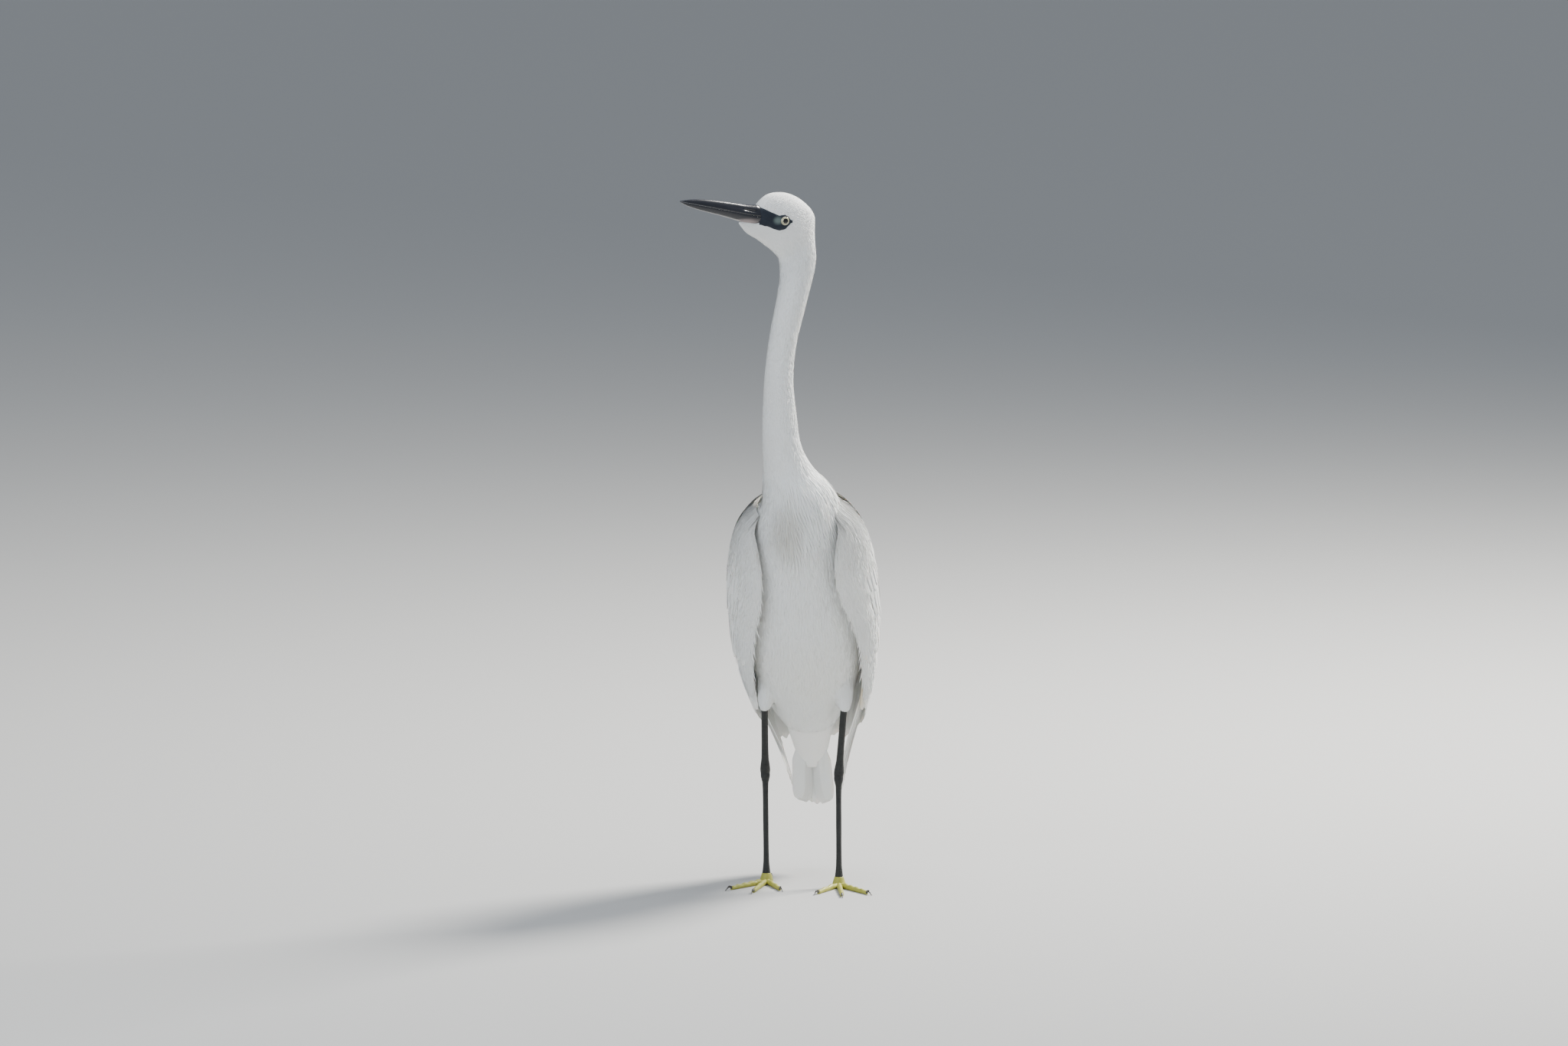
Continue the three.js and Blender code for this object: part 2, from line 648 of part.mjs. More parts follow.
for (const { name, side, foot, turn } of legs) {
  const centre = new THREE.Vector3(foot[0], foot[1], 0);
  const pad = loft([[0, 5], [2.5, 6.2], [6, 5.4], [FOOT_HEIGHT, 4.2]].map(([z, radius]) =>
    steps(0, 360, 12).slice(0, -1).map((angle) => {
      const a = radians(angle);
      return new THREE.Vector3(centre.x + radius * Math.cos(a), centre.y + radius * Math.sin(a), z);
    }),
  ));
  const pieces = [solid(pad)];
  for (const toe of toes) {
    const heading = radians(side * (toe.out + turn * side));
    const ahead = new THREE.Vector3(Math.sin(heading), -Math.cos(heading), 0);
    const end = centre.clone().addScaledVector(ahead, toe.length);
    pieces.push(solid(loft(steps(0, 1, toe.joints * 2 + 2).map((u) => {
      const bulge = 1 + 0.09 * Math.cos(u * (toe.joints + 1) * 2 * Math.PI);
      const half = TOE_RADIUS * (1 - TOE_TAPER * u) * bulge;
      const point = centre.clone().addScaledVector(ahead, lerp(TOE_START, toe.length, u));
      return toeRing(point, heading, half, 0, half * 1.9);
    }))));
    const claw = steps(0, 1, 4).map((u) => {
      const point = end.clone().addScaledVector(ahead, GAP + toe.claw * u);
      const half = lerp(1.5, 0.35, u ** 0.8);
      const middle = 2 + 1.7 * Math.sin(Math.PI * Math.min(u * 1.25, 1)) - 1.45 * u * u;
      return toeRing(point, heading, half, middle - half * 1.2, middle + half * 1.2);
    });
    add(`claw_${name}_${toe.name}`, clawHorn, solid(loft(claw)));
  }
  add(`foot_${name}`, footSkin, joined(pieces));
}

// Tail
// A short core carries on the body's line. Rows of the distance down, half width, and depth to the front
// and the back.
const TAIL_CORE_END = 284;
const tailForm = through([
  [TAIL_ROOT + GAP, 24, 18, 12],
  [250, 20.5, 13, 8.5],
  [265, 17, 8, 5.5],
  [TAIL_CORE_END, 9, 3.6, 2],
]);
const TAIL_PAIRS = 6;
const RECTRIX_HALF = 6.2;
const RECTRIX_STEP = 0.92;
const RECTRIX_ROOT = 256;

function onTail(down, across, back) {
  const point = SHOULDER.clone().addScaledVector(lineDown, down).addScaledVector(lineBack, back);
  point.x = across;
  return point;
}

function tailRing(down) {
  const [width, front, back] = tailForm(down);
  return steps(0, 360, 20).slice(0, -1).map((angle) => {
    const [c, s] = [Math.cos(radians(angle)), Math.sin(radians(angle))];
    return onTail(down, width * c, (s > 0 ? back : front) * s);
  });
}

// The middle pair lies on top, the left one over the right, and each pair further out lies under it.
function rectrix(side, pair) {
  const start = pair === 0 ? 1.5 : 5.4 + pair;
  const fan = radians(0.6 + 0.4 * pair);
  const level = 2.2 - RECTRIX_STEP * (pair === 0 && side < 0 ? 0 : pair + 1);
  const end = TAIL_TIP - 1.3 * pair - (side < 0 ? 1.5 : 0);
  const faces = [1, -1].map((face) =>
    ROUND_TIP.map(([u, fullness]) => {
      const down = lerp(RECTRIX_ROOT, end, u);
      const apart = lerp(start * 0.6, start, Math.min(u * 3, 1));
      const centre = side * (apart + (down - RECTRIX_ROOT) * Math.tan(fan));
      return [-1, 1].map((across) => {
        const reach = across * RECTRIX_HALF * fullness;
        return onTail(down, centre + reach, level + (face * VANE_THICKNESS) / 2);
      });
    }),
  );
  return solid(sheet(...faces));
}

const rectrices = steps(0, TAIL_PAIRS - 1, TAIL_PAIRS - 1).flatMap((pair) =>
  [-1, 1].map((side) => rectrix(side, pair)),
);
const tailCore = solid(loft([TAIL_ROOT + GAP, 243, 251, 260, 272, TAIL_CORE_END].map(tailRing)));
add("tail", plumage, joined([tailCore, ...rectrices]));

// The whole bird is turned, and its origin is on the floor under the middle of its outer box.
bird.rotation.z = radians(BODY_TURN);
bird.updateMatrixWorld(true);
const box = new THREE.Box3().setFromObject(bird, true);
const middle = box.getCenter(new THREE.Vector3());
bird.position.set(-middle.x, -middle.y, -box.min.z);

export default bird;
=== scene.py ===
import math

import bmesh
import bpy
import numpy as np
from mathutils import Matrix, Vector
from mathutils.bvhtree import BVHTree


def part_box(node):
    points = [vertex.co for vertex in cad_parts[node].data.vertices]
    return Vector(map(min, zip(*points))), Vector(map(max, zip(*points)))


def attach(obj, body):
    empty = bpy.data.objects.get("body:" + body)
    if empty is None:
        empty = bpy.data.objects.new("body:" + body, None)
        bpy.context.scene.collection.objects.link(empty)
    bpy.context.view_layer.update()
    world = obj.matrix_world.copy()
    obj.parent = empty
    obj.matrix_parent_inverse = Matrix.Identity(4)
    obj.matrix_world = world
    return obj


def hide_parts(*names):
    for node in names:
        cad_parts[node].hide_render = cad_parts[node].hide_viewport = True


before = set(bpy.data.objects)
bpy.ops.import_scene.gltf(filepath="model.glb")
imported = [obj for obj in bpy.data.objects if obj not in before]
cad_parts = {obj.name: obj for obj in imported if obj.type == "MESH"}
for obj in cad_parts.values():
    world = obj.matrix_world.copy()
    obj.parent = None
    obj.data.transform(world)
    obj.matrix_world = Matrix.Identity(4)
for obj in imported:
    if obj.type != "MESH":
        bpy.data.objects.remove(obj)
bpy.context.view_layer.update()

# Skin
# One seamless skin of body, neck, head and thighs, which lies under the plumage by the coat's depth. It is
# made of smooth rings along the spine and the head, fused and evened out. Sizes are in millimetres of the
# bird as it faces -Y, and the left eye's box in the frame says where it stands.
MM = 0.001
BODY_TURN = math.radians(-5.5)
HEAD_CENTRE = np.array([-2.9, -60.7, 620.2])
HEAD_TURN = math.radians(49.5)
EYE_PLACE = (19.7, 10.9, 0.6)
head_forward = np.array([-math.sin(HEAD_TURN), -math.cos(HEAD_TURN), 0.0])
head_left = np.array([math.cos(HEAD_TURN), -math.sin(HEAD_TURN), 0.0])
turn = np.array([
    [math.cos(BODY_TURN), -math.sin(BODY_TURN), 0.0],
    [math.sin(BODY_TURN), math.cos(BODY_TURN), 0.0],
    [0.0, 0.0, 1.0],
])


def on_head(forward, left, up):
    """A point of the head, from its own directions: forward to the bill, to the bird's left, and up."""
    forward, left, up = np.broadcast_arrays(forward, left, up)
    point = HEAD_CENTRE + forward[..., None] * head_forward + left[..., None] * head_left
    return point + up[..., None] * np.array([0.0, 0.0, 1.0])


eye_low, eye_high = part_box("eye_left")
standing = (np.array(eye_low) + np.array(eye_high)) / 2 - turn @ on_head(*EYE_PLACE) * MM


def to_world(points):
    """Bird millimetres to the frame's metres."""
    return np.asarray(points, float) @ turn.T * MM + standing


def to_bird(points):
    """The frame's metres to bird millimetres."""
    return (np.asarray(points, float) - standing) @ turn / MM


def curve(rows):
    """A smooth curve through rows of [place, value, ...], which gives the values at any places."""
    table = np.array(rows, float)
    x, y = table[:, 0], table[:, 1:]
    before, after = np.maximum(np.arange(len(x)) - 1, 0), np.minimum(np.arange(len(x)) + 1, len(x) - 1)
    slopes = (y[after] - y[before]) / (x[after] - x[before])[:, None]

    def at(place):
        place = np.clip(np.asarray(place, float), x[0], x[-1])
        i = np.clip(np.searchsorted(x, place) - 1, 0, len(x) - 2)
        span = x[i + 1] - x[i]
        u = ((place - x[i]) / span)[..., None]
        span = span[..., None]
        ease = u * u * (3 - 2 * u)
        start = slopes[i] * span * u * (1 - u) ** 2
        end = slopes[i + 1] * span * u * u * (u - 1)
        return y[i] * (1 - ease) + y[i + 1] * ease + start + end

    return at


body_form = curve([
    [0, 0, 58.7, 142.7, 24, 18, 12],
    [20, 0, 49.3, 160.4, 35, 31, 18],
    [45, 0, 37.5, 182.4, 46, 42.5, 26],
    [75, 0, 23.4, 208.9, 53.5, 50.5, 33],
    [105, 0, 9.2, 235.3, 57, 54.5, 38],
    [135, 0, -4.9, 261.8, 57.5, 56, 41],
    [165, 0, -19, 288.3, 55.5, 54.5, 42.5],
    [195, 0, -33.2, 314.7, 51, 51, 42],
    [223, 0, -46.3, 339.4, 45.5, 46, 40],
    [249, -1, -56.5, 362, 37, 38, 35],
    [274, -8.5, -61.5, 385, 26.5, 28.5, 27],
    [300, -14, -67.2, 410, 20.2, 21.5, 22],
    [331, -15.7, -71.5, 440, 17.6, 18.5, 19],
    [366, -16.3, -73, 475, 15, 16.5, 16.5],
    [401, -13, -69.5, 509, 14.3, 16, 16],
    [436, -6.2, -62.5, 543, 15, 16.5, 16.5],
    [469, -0.9, -57, 575.5, 16, 17, 17],
    [500, -0.6, -56.5, 606, 15.8, 16, 17],
])
head_form = curve([
    [-21, 3.5, -1, -6, -12],
    [-17.5, 9, 7.5, -5, -21],
    [-10, 14, 15, -4, -33],
    [0, 16.2, 21.8, -2, -39],
    [10, 16.6, 25.6, -1, -38.5],
    [19, 15.6, 26.6, 0, -33.5],
    [27, 13.2, 26, 2, -27],
    [34, 10.6, 23.2, 4, -22.3],
    [42, 8.3, 16.6, 5, -16.9],
])
chin_form = curve([
    [36, 8.2, 3, -19.5],
    [42, 7.2, 2.5, -16.2],
    [50, 5.2, 3, -12.6],
    [57, 3.2, 3, -7.2],
    [64, 1, 2.5, 0],
])
HEAD_ROUNDNESS = 0.9


def body_frame(way):
    """Centre and directions of the body at places along the spine, from the tail's root up."""
    centre = body_form(way)[..., :3]
    up = body_form(way + 1)[..., :3] - body_form(way - 1)[..., :3]
    up /= np.linalg.norm(up, axis=-1, keepdims=True)
    across = np.array([1.0, 0, 0]) - up * up[..., :1]
    across /= np.linalg.norm(across, axis=-1, keepdims=True)
    return centre, up, across, np.cross(up, across)


def body_surface(way, angle, grow):
    """The body's form, grown by a depth, from the bird's left round by its back."""
    centre, _, across, back = body_frame(way)
    sizes = body_form(way)[..., 3:]
    depth = np.where(np.sin(angle) > 0, sizes[..., 2], sizes[..., 1]) + grow
    side = (np.cos(angle) * (sizes[..., 0] + grow))[..., None] * across
    return centre + side + (np.sin(angle) * depth)[..., None] * back


def rounded(angle):
    """The cosine and sine of an angle, drawn out to make a circle a little squarer."""
    c, s = np.cos(angle), np.sin(angle)
    return np.sign(c) * np.abs(c) ** HEAD_ROUNDNESS, np.sign(s) * np.abs(s) ** HEAD_ROUNDNESS


def head_surface(forward, angle, grow):
    """The head's form, grown by a depth, from the bird's left round by its crown."""
    width, crown, widest, throat = np.moveaxis(head_form(forward), -1, 0)
    c, s = rounded(angle)
    height = np.where(s > 0, crown - widest, widest - throat) + grow
    return on_head(forward, (width + grow) * c, widest + height * s)


def grid_faces(rows, columns, round_rows=False, round_columns=False):
    """Quads over rows and columns of points, which may close on themselves either way."""
    r, k = np.meshgrid(
        np.arange(rows if round_rows else rows - 1),
        np.arange(columns if round_columns else columns - 1),
        indexing="ij",
    )
    after_r, after_k = (r + 1) % rows, (k + 1) % columns
    quads = [r * columns + k, r * columns + after_k, after_r * columns + after_k, after_r * columns + k]
    return np.stack(quads, -1).reshape(-1, 4)


def ring_faces(rings, sides):
    """Quads between rings of points, with both ends closed."""
    ends = [list(range(sides))[::-1], list(range((rings - 1) * sides, rings * sides))]
    return grid_faces(rings, sides, round_columns=True).tolist() + ends


def ringed(places, sides=48):
    """Places along a form and angles all round it, as one grid."""
    return np.meshgrid(places, np.linspace(0, 2 * math.pi, sides, endpoint=False), indexing="ij")


def piece(name, points, faces, material):
    """A new smooth mesh object from bird millimetres."""
    mesh = bpy.data.meshes.new(name)
    mesh.from_pydata(to_world(points).tolist(), [], faces)
    mesh.materials.append(material)
    mesh.polygons.foreach_set("use_smooth", [True] * len(mesh.polygons))
    mesh.update()
    made = bpy.data.objects.new(name, mesh)
    bpy.context.scene.collection.objects.link(made)
    return made


def settle(made):
    """Replaces a piece's mesh with what its modifiers make of it."""
    bpy.context.view_layer.update()
    shaped = made.evaluated_get(bpy.context.evaluated_depsgraph_get())
    mesh = bpy.data.meshes.new_from_object(shaped)
    made.modifiers.clear()
    made.data = mesh


def lofted(name, grid, material):
    """A closed piece over a grid of rings, with its faces outward."""
    rings, sides = grid.shape[:2]
    made = piece(name, grid.reshape(-1, 3), ring_faces(rings, sides), material)
    shell = bmesh.new()
    shell.from_mesh(made.data)
    bmesh.ops.recalc_face_normals(shell, faces=shell.faces)
    shell.to_mesh(made.data)
    shell.free()
    return made


def join(parts):
    """Makes one piece of several, under the first one's name."""
    bpy.ops.object.select_all(action="DESELECT")
    for part in parts:
        part.select_set(True)
    bpy.context.view_layer.objects.active = parts[0]
    bpy.ops.object.join()
    return parts[0]


def group(name, inputs, outputs):
    """An empty shader node group with named sockets, and its input and output nodes."""
    made = bpy.data.node_groups.new(name, "ShaderNodeTree")
    kinds = {"colour": "NodeSocketColor", "value": "NodeSocketFloat", "vector": "NodeSocketVector"}
    for socket, kind in inputs.items():
        made.interface.new_socket(socket, in_out="INPUT", socket_type=kinds[kind])
    for socket, kind in outputs.items():
        made.interface.new_socket(socket, in_out="OUTPUT", socket_type=kinds[kind])
    return made, made.nodes.new("NodeGroupInput"), made.nodes.new("NodeGroupOutput")


def add(tree, kind, values=(), **settings):
    """A new shader node, with its settings and then the values of its sockets."""
    made = tree.nodes.new("ShaderNode" + kind)
    for setting, value in settings.items():
        setattr(made, setting, value)
    for socket, value in dict(values).items():
        made.inputs[socket].default_value = value
    return made


def wire(tree, *links):
    """Links shader nodes, from rows of a node, its output, the next node and its input."""
    for node, output, after, socket in links:
        tree.links.new(node.outputs[output], after.inputs[socket])


mottle, mottle_in, mottle_out = group(
    "soft mottle",
    {"Light": "colour", "Dark": "colour", "Scale": "value", "Amount": "value"},
    {"Color": "colour"},
)
mottle_place = add(mottle, "TexCoord")
mottle_noise = add(mottle, "TexNoise", {"Detail": 5})
mottle_share = add(mottle, "Math", operation="MULTIPLY")
mottle_mix = add(mottle, "Mix", data_type="RGBA")
wire(
    mottle,
    (mottle_place, "Object", mottle_noise, "Vector"),
    (mottle_in, "Scale", mottle_noise, "Scale"),
    (mottle_noise, "Fac", mottle_share, 0),
    (mottle_in, "Amount", mottle_share, 1),
    (mottle_share, 0, mottle_mix, "Factor"),
    (mottle_in, "Light", mottle_mix, "A"),
    (mottle_in, "Dark", mottle_mix, "B"),
    (mottle_mix, "Result", mottle_out, "Color"),
)

around, around_in, around_out = group(
    "round a place",
    {"Base": "colour", "Patch": "colour", "Centre": "vector", "Size": "vector", "Strength": "value"},
    {"Color": "colour"},
)
around_place = add(around, "TexCoord")
around_shift = add(around, "VectorMath", operation="SUBTRACT")
around_scale = add(around, "VectorMath", operation="DIVIDE")
around_length = add(around, "VectorMath", operation="LENGTH")
around_fall = add(around, "MapRange", {"From Min": 1, "From Max": 0.2}, interpolation_type="SMOOTHSTEP")
around_share = add(around, "Math", operation="MULTIPLY")
around_mix = add(around, "Mix", data_type="RGBA")
wire(
    around,
    (around_place, "Object", around_shift, 0),
    (around_in, "Centre", around_shift, 1),
    (around_shift, "Vector", around_scale, 0),
    (around_in, "Size", around_scale, 1),
    (around_scale, "Vector", around_length, 0),
    (around_length, "Value", around_fall, "Value"),
    (around_fall, "Result", around_share, 0),
    (around_in, "Strength", around_share, 1),
    (around_share, 0, around_mix, "Factor"),
    (around_in, "Base", around_mix, "A"),
    (around_in, "Patch", around_mix, "B"),
    (around_mix, "Result", around_out, "Color"),
)

grain, grain_in, grain_out = group(
    "fine grain",
    {"Scale": "value", "Stretch": "vector", "Detail": "value", "Strength": "value", "Distance": "value"},
    {"Normal": "vector"},
)
grain_place = add(grain, "TexCoord")
grain_fit = add(grain, "Mapping")
grain_noise = add(grain, "TexNoise")
grain_bump = add(grain, "Bump")
wire(
    grain,
    (grain_place, "Object", grain_fit, "Vector"),
    (grain_in, "Stretch", grain_fit, "Scale"),
    (grain_fit, "Vector", grain_noise, "Vector"),
    (grain_in, "Scale", grain_noise, "Scale"),
    (grain_in, "Detail", grain_noise, "Detail"),
    (grain_noise, "Fac", grain_bump, "Height"),
    (grain_in, "Strength", grain_bump, "Strength"),
    (grain_in, "Distance", grain_bump, "Distance"),
    (grain_bump, "Normal", grain_out, "Normal"),
)


def finish(name, roughness, **sockets):
    """A material whose Principled shader has its plain sockets set."""
    made = bpy.data.materials.new(name)
    made.use_nodes = True
    shader = made.node_tree.nodes["Principled BSDF"]
    shader.inputs["Roughness"].default_value = roughness
    for socket, value in sockets.items():
        shader.inputs[socket.replace("_", " ")].default_value = value
    return made


def mottled(made, light, dark, scale, amount, patches=()):
    """Colours a finish with soft mottle under patches, each of a colour, centre, size and strength."""
    tree = made.node_tree
    values = {"Light": (*light, 1), "Dark": (*dark, 1), "Scale": scale, "Amount": amount}
    node = add(tree, "Group", values, node_tree=mottle)
    for colour, centre, size, strength in patches:
        before = node
        values = {"Patch": (*colour, 1), "Centre": to_world(centre), "Strength": strength}
        node = add(tree, "Group", {**values, "Size": np.array(size) * MM}, node_tree=around)
        wire(tree, (before, "Color", node, "Base"))
    wire(tree, (node, "Color", tree.nodes["Principled BSDF"], "Base Color"))


def bumped(made, effect, **values):
    """Gives a finish the relief of an effect."""
    tree = made.node_tree
    node = add(tree, "Group", values, node_tree=effect)
    wire(tree, (node, "Normal", tree.nodes["Principled BSDF"], "Normal"))


# Pure white down: matt, a little translucent, warmer towards the belly and with a grey brown patch on the
# chest. Painted blue grey shade lies over the upper neck.
WHITE = (0.9, 0.9, 0.885)
CREAM = (0.86, 0.835, 0.765)
CHEST_BROWN = (0.46, 0.42, 0.36)
# Painted shade: the blue grey laid over the upper neck, which stands in shadow.
NECK_PAINTED_SHADE = (0.74, 0.76, 0.79)
down_finish = finish(
    "white down", 0.72, Subsurface_Weight=0.08, Subsurface_Scale=0.004, Specular_IOR_Level=0.25
)
mottled(down_finish, WHITE, CREAM, scale=38, amount=0.55, patches=[
    # A grey brown patch on the chest.
    (CHEST_BROWN, (-8, -92, 332), (25, 34, 42), 0.6),
    (CREAM, (4, -10, 205), (60, 60, 60), 0.55),
    # Painted blue grey shade over the upper neck.
    (NECK_PAINTED_SHADE, (-4, -60, 575), (24, 30, 40), 0.3),
])
bumped(down_finish, grain, Scale=900, Stretch=(1, 1, 1), Detail=3, Strength=0.35, Distance=0.0004)

# The skin lies this deep under the plumage. Where the neck meets the throat and nape it is filled out.
COAT_DEPTH = curve([[0, 3.4], [120, 3.4], [230, 3.2], [300, 2.6], [400, 2.1], [500, 1.8]])
HEAD_COAT = 1.1
CHIN_COAT = 0.6
CHIN_SIDE_COAT = 0.5
FILLS = [
    dict(way=480, angle=220.5, reach=17, depth=4.2),
    dict(way=488, angle=20, reach=24, depth=2.6),
]
way, angle = ringed(np.linspace(0, 500, 150))
skin_grow = -COAT_DEPTH(way)[..., 0]
for fill in FILLS:
    facing = np.clip(np.cos(angle - math.radians(fill["angle"])), 0, 1) ** 2
    skin_grow = skin_grow + fill["depth"] * facing * np.exp(-(((way - fill["way"]) / fill["reach"]) ** 2))
spine = lofted("skin", body_surface(way, angle, skin_grow), down_finish)
forward, angle = ringed(np.linspace(-21, 41.8, 50))
skull = lofted("skull", head_surface(forward, angle, -HEAD_COAT), down_finish)
forward, angle = ringed(np.linspace(36, 63, 16))
width, top, bottom = np.moveaxis(chin_form(forward), -1, 0)
c, s = rounded(angle)
height = (top + bottom) / 2 + ((top - bottom) / 2 - CHIN_COAT) * s
chin = lofted("chin", on_head(forward, (width - CHIN_SIDE_COAT) * c, height), down_finish)

LEGS = {
    "left": {"side": 1, "ankle": (31, 9, 101), "foot": (33, -8), "turn": 8},
    "right": {"side": -1, "ankle": (-38, 24, 101), "foot": (-35.5, 9), "turn": -6},
}
KNEE = (28, 22, 214)
THIGH_END = (37, 6, 161)
thigh_form = curve([
    [0, 11, 16], [0.3, 12, 17], [0.55, 10.5, 14], [0.8, 7.6, 9], [0.95, 4.6, 5.2], [1, 3.4, 3.8],
])


def mirrored(point, side):
    """A point of the left leg, or the same place on the right one."""
    return np.array(point, float) * (side, 1, 1)


thighs = []
for leg_name, leg in LEGS.items():
    knee, end = mirrored(KNEE, leg["side"]), mirrored(THIGH_END, leg["side"])
    share, angle = ringed(np.linspace(0, 1, 12))
    wide, deep = np.moveaxis(thigh_form(share), -1, 0)
    grid = knee + (end - knee) * share[..., None]
    grid[..., 0] += wide * np.cos(angle)
    grid[..., 1] += deep * np.sin(angle)
    thighs.append(lofted("thigh_skin_" + leg_name, grid, down_finish))

SKIN_VOXEL = 0.0016
skin = join([spine, skull, chin, *thighs])
remesh = skin.modifiers.new("one skin", "REMESH")
remesh.mode = "VOXEL"
remesh.voxel_size = SKIN_VOXEL
remesh.use_smooth_shade = True
even = skin.modifiers.new("even", "SMOOTH")
even.iterations = 14
settle(skin)

# The throat and nape are smoothed again. Each row has a place on the head and a reach.
CREASES = [(9, 0, -39, 26), (-17, 0, -17, 18)]
blend = skin.vertex_groups.new(name="creases")
forward, left, up, reach = np.array(CREASES, float).T
crease_centres = to_world(on_head(forward, left, up))
for vertex in skin.data.vertices:
    away = np.linalg.norm(crease_centres - np.array(vertex.co), axis=1) / (reach * MM)
    nearest = float(away.min())
    if nearest < 1:
        blend.add([vertex.index], (1 - nearest**2) ** 0.5, "REPLACE")
crease_smooth = skin.modifiers.new("throat and nape", "SMOOTH")
crease_smooth.vertex_group = "creases"
crease_smooth.iterations = 90
settle(skin)
skin.data.materials.clear()
skin.data.materials.append(down_finish)
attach(skin, "root")
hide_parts("torso", "neck_lower", "neck_upper", "head", "thigh_left", "thigh_right")

# Body plumage
# Small soft feathers over the skin, each a fan of fine barbs that lies along the body towards the tail.
# They are shortest round the bill and eye, fine on the neck, and longest on the breast and belly.
draw = np.random.default_rng(7)
skin.data.calc_loop_triangles()
skin_points = np.empty(len(skin.data.vertices) * 3, np.float32)
skin.data.vertices.foreach_get("co", skin_points)
skin_points = to_bird(skin_points.reshape(-1, 3))
skin_triangles = np.empty(len(skin.data.loop_triangles) * 3, np.int32)
skin.data.loop_triangles.foreach_get("vertices", skin_triangles)
skin_triangles = skin_triangles.reshape(-1, 3)
skin_tree = BVHTree.FromPolygons(skin_points.tolist(), skin_triangles.tolist())
spine_ways = np.arange(0, 501, 4.0)
spine_centres, spine_ups, _, _ = body_frame(spine_ways)

BODY_LENGTH = curve([[0, 30], [60, 27], [150, 25], [230, 22], [280, 18], [330, 14], [400, 11], [500, 8.5]])
HEAD_LENGTH = curve([[-21, 7], [0, 5.4], [14, 4.2], [30, 3], [42, 2.2], [64, 1.8]])
HEAD_START = 592.0
HEAD_BLEND = 22.0
FACE_START = 20.0
FACE_BLEND = 10.0
THIGH_REACH = 16.0
THIGH_STRETCH = 0.35


def head_place(points):
    """The head's own forward, left and up of points."""
    offset = points - HEAD_CENTRE
    return offset @ head_forward, offset @ head_left, offset[..., 2]


def nearest_on_spine(points):
    """Which place along the spine is nearest to each point."""
    return np.argmin(((points[:, None, :] - spine_centres) ** 2).sum(-1), 1)


def lie(points):
    """Which way feathers lie at points, how long they are there, and how far up the spine that is."""
    nearest = nearest_on_spine(points)
    way = spine_ways[nearest]
    forward, _, up = head_place(points)
    on_crown = np.clip((points[:, 2] - HEAD_START) / HEAD_BLEND, 0, 1) ** 1.2
    on_crown = np.maximum(on_crown, np.clip((forward - FACE_START) / FACE_BLEND, 0, 1))
    back = -head_forward * (1.1 - 0.2 * on_crown)[:, None]
    drop = np.clip(0.35 - up / 60 - forward / 200, 0, 1.2)[:, None] * np.array([0, 0, -1.0])
    direction = -spine_ups[nearest] * (1 - on_crown)[:, None] + (back + drop) * on_crown[:, None]
    length = BODY_LENGTH(way)[:, 0] * (1 - on_crown) + HEAD_LENGTH(forward)[:, 0] * on_crown
    for leg in LEGS.values():
        knee, end = mirrored(KNEE, leg["side"]), mirrored(THIGH_END, leg["side"])
        off = points - end
        off[:, 2] *= THIGH_STRETCH
        on_thigh = np.clip(1.6 - np.linalg.norm(off, axis=1) / THIGH_REACH, 0, 1)
        axis = (end - knee) / np.linalg.norm(end - knee)
        direction = direction * (1 - on_thigh)[:, None] + axis * on_thigh[:, None]
        length = length * (1 - 0.4 * on_thigh)
    return direction, length, way


def scatter(count, weight):
    """Seeded random places on the skin, as points and normals, thicker where the weight is more."""
    corners = skin_points[skin_triangles]
    cross = np.cross(corners[:, 1] - corners[:, 0], corners[:, 2] - corners[:, 0])
    area = np.linalg.norm(cross, axis=1)
    share = area * weight(corners.mean(1))
    chosen = draw.choice(len(area), count, p=share / share.sum())
    a, b = np.sqrt(draw.random(count)), draw.random(count)
    u, v, w = 1 - a, a * (1 - b), a * b
    picked = corners[chosen]
    points = picked[:, 0] * u[:, None] + picked[:, 1] * v[:, None] + picked[:, 2] * w[:, None]
    return points, cross[chosen] / area[chosen][:, None]


UNWRAP_LOW = 130
UNWRAP_HEIGHT = 530


def unwrap(points):
    """Where points lie on an unwrap of the skin: round the spine, and up it."""
    offset = points - spine_centres[nearest_on_spine(points)]
    round_spine = np.arctan2(offset[:, 1], offset[:, 0]) / (2 * math.pi) + 0.5
    height = (points[:, 2] - UNWRAP_LOW) / UNWRAP_HEIGHT
    return np.stack([round_spine * 0.98 + 0.01, np.clip(height, 0, 1) * 0.98 + 0.01], -1)


# A barb has four rows of points: how far along it they are, how far it has lifted and its half width there.
ROWS = np.array([0.0, 0.36, 0.72, 1.0])
LIFT_ROWS = np.array([0.0, 0.55, 0.95, 1.0])
HALF_ROWS = np.array([0.3, 0.5, 0.3, 0.0])
ROOT_DEPTH = 0.25
ROOT_SPACING = 0.16
SPLAY = 0.2
TUFT_PATCH = 0.003


def flat_on(normals, directions):
    """Directions turned flat onto a surface with those normals."""
    flat = directions - (directions * normals).sum(-1, keepdims=True) * normals
    return flat / (np.linalg.norm(flat, axis=-1, keepdims=True) + 1e-9)


def laid_on_skin(roots, normals, directions, lengths, lift):
    """The middle lines of barbs that follow the skin from their roots, and the normals along them."""
    directions = flat_on(normals, directions)
    rails, ups = np.empty((len(roots), 4, 3)), np.empty((len(roots), 4, 3))
    rails[:, 0], ups[:, 0] = roots - normals * ROOT_DEPTH, normals
    for row in range(1, 4):
        reach = rails[:, row - 1] + directions * (lengths * (ROWS[row] - ROWS[row - 1]))[:, None]
        for i, place in enumerate(reach):
            rails[i, row], ups[i, row], _, _ = skin_tree.find_nearest(place)
        directions = flat_on(ups[:, row], directions)
    rails += ups * (lift[:, None] * LIFT_ROWS)[..., None]
    return rails, ups, np.repeat(directions[:, None], 4, 1)


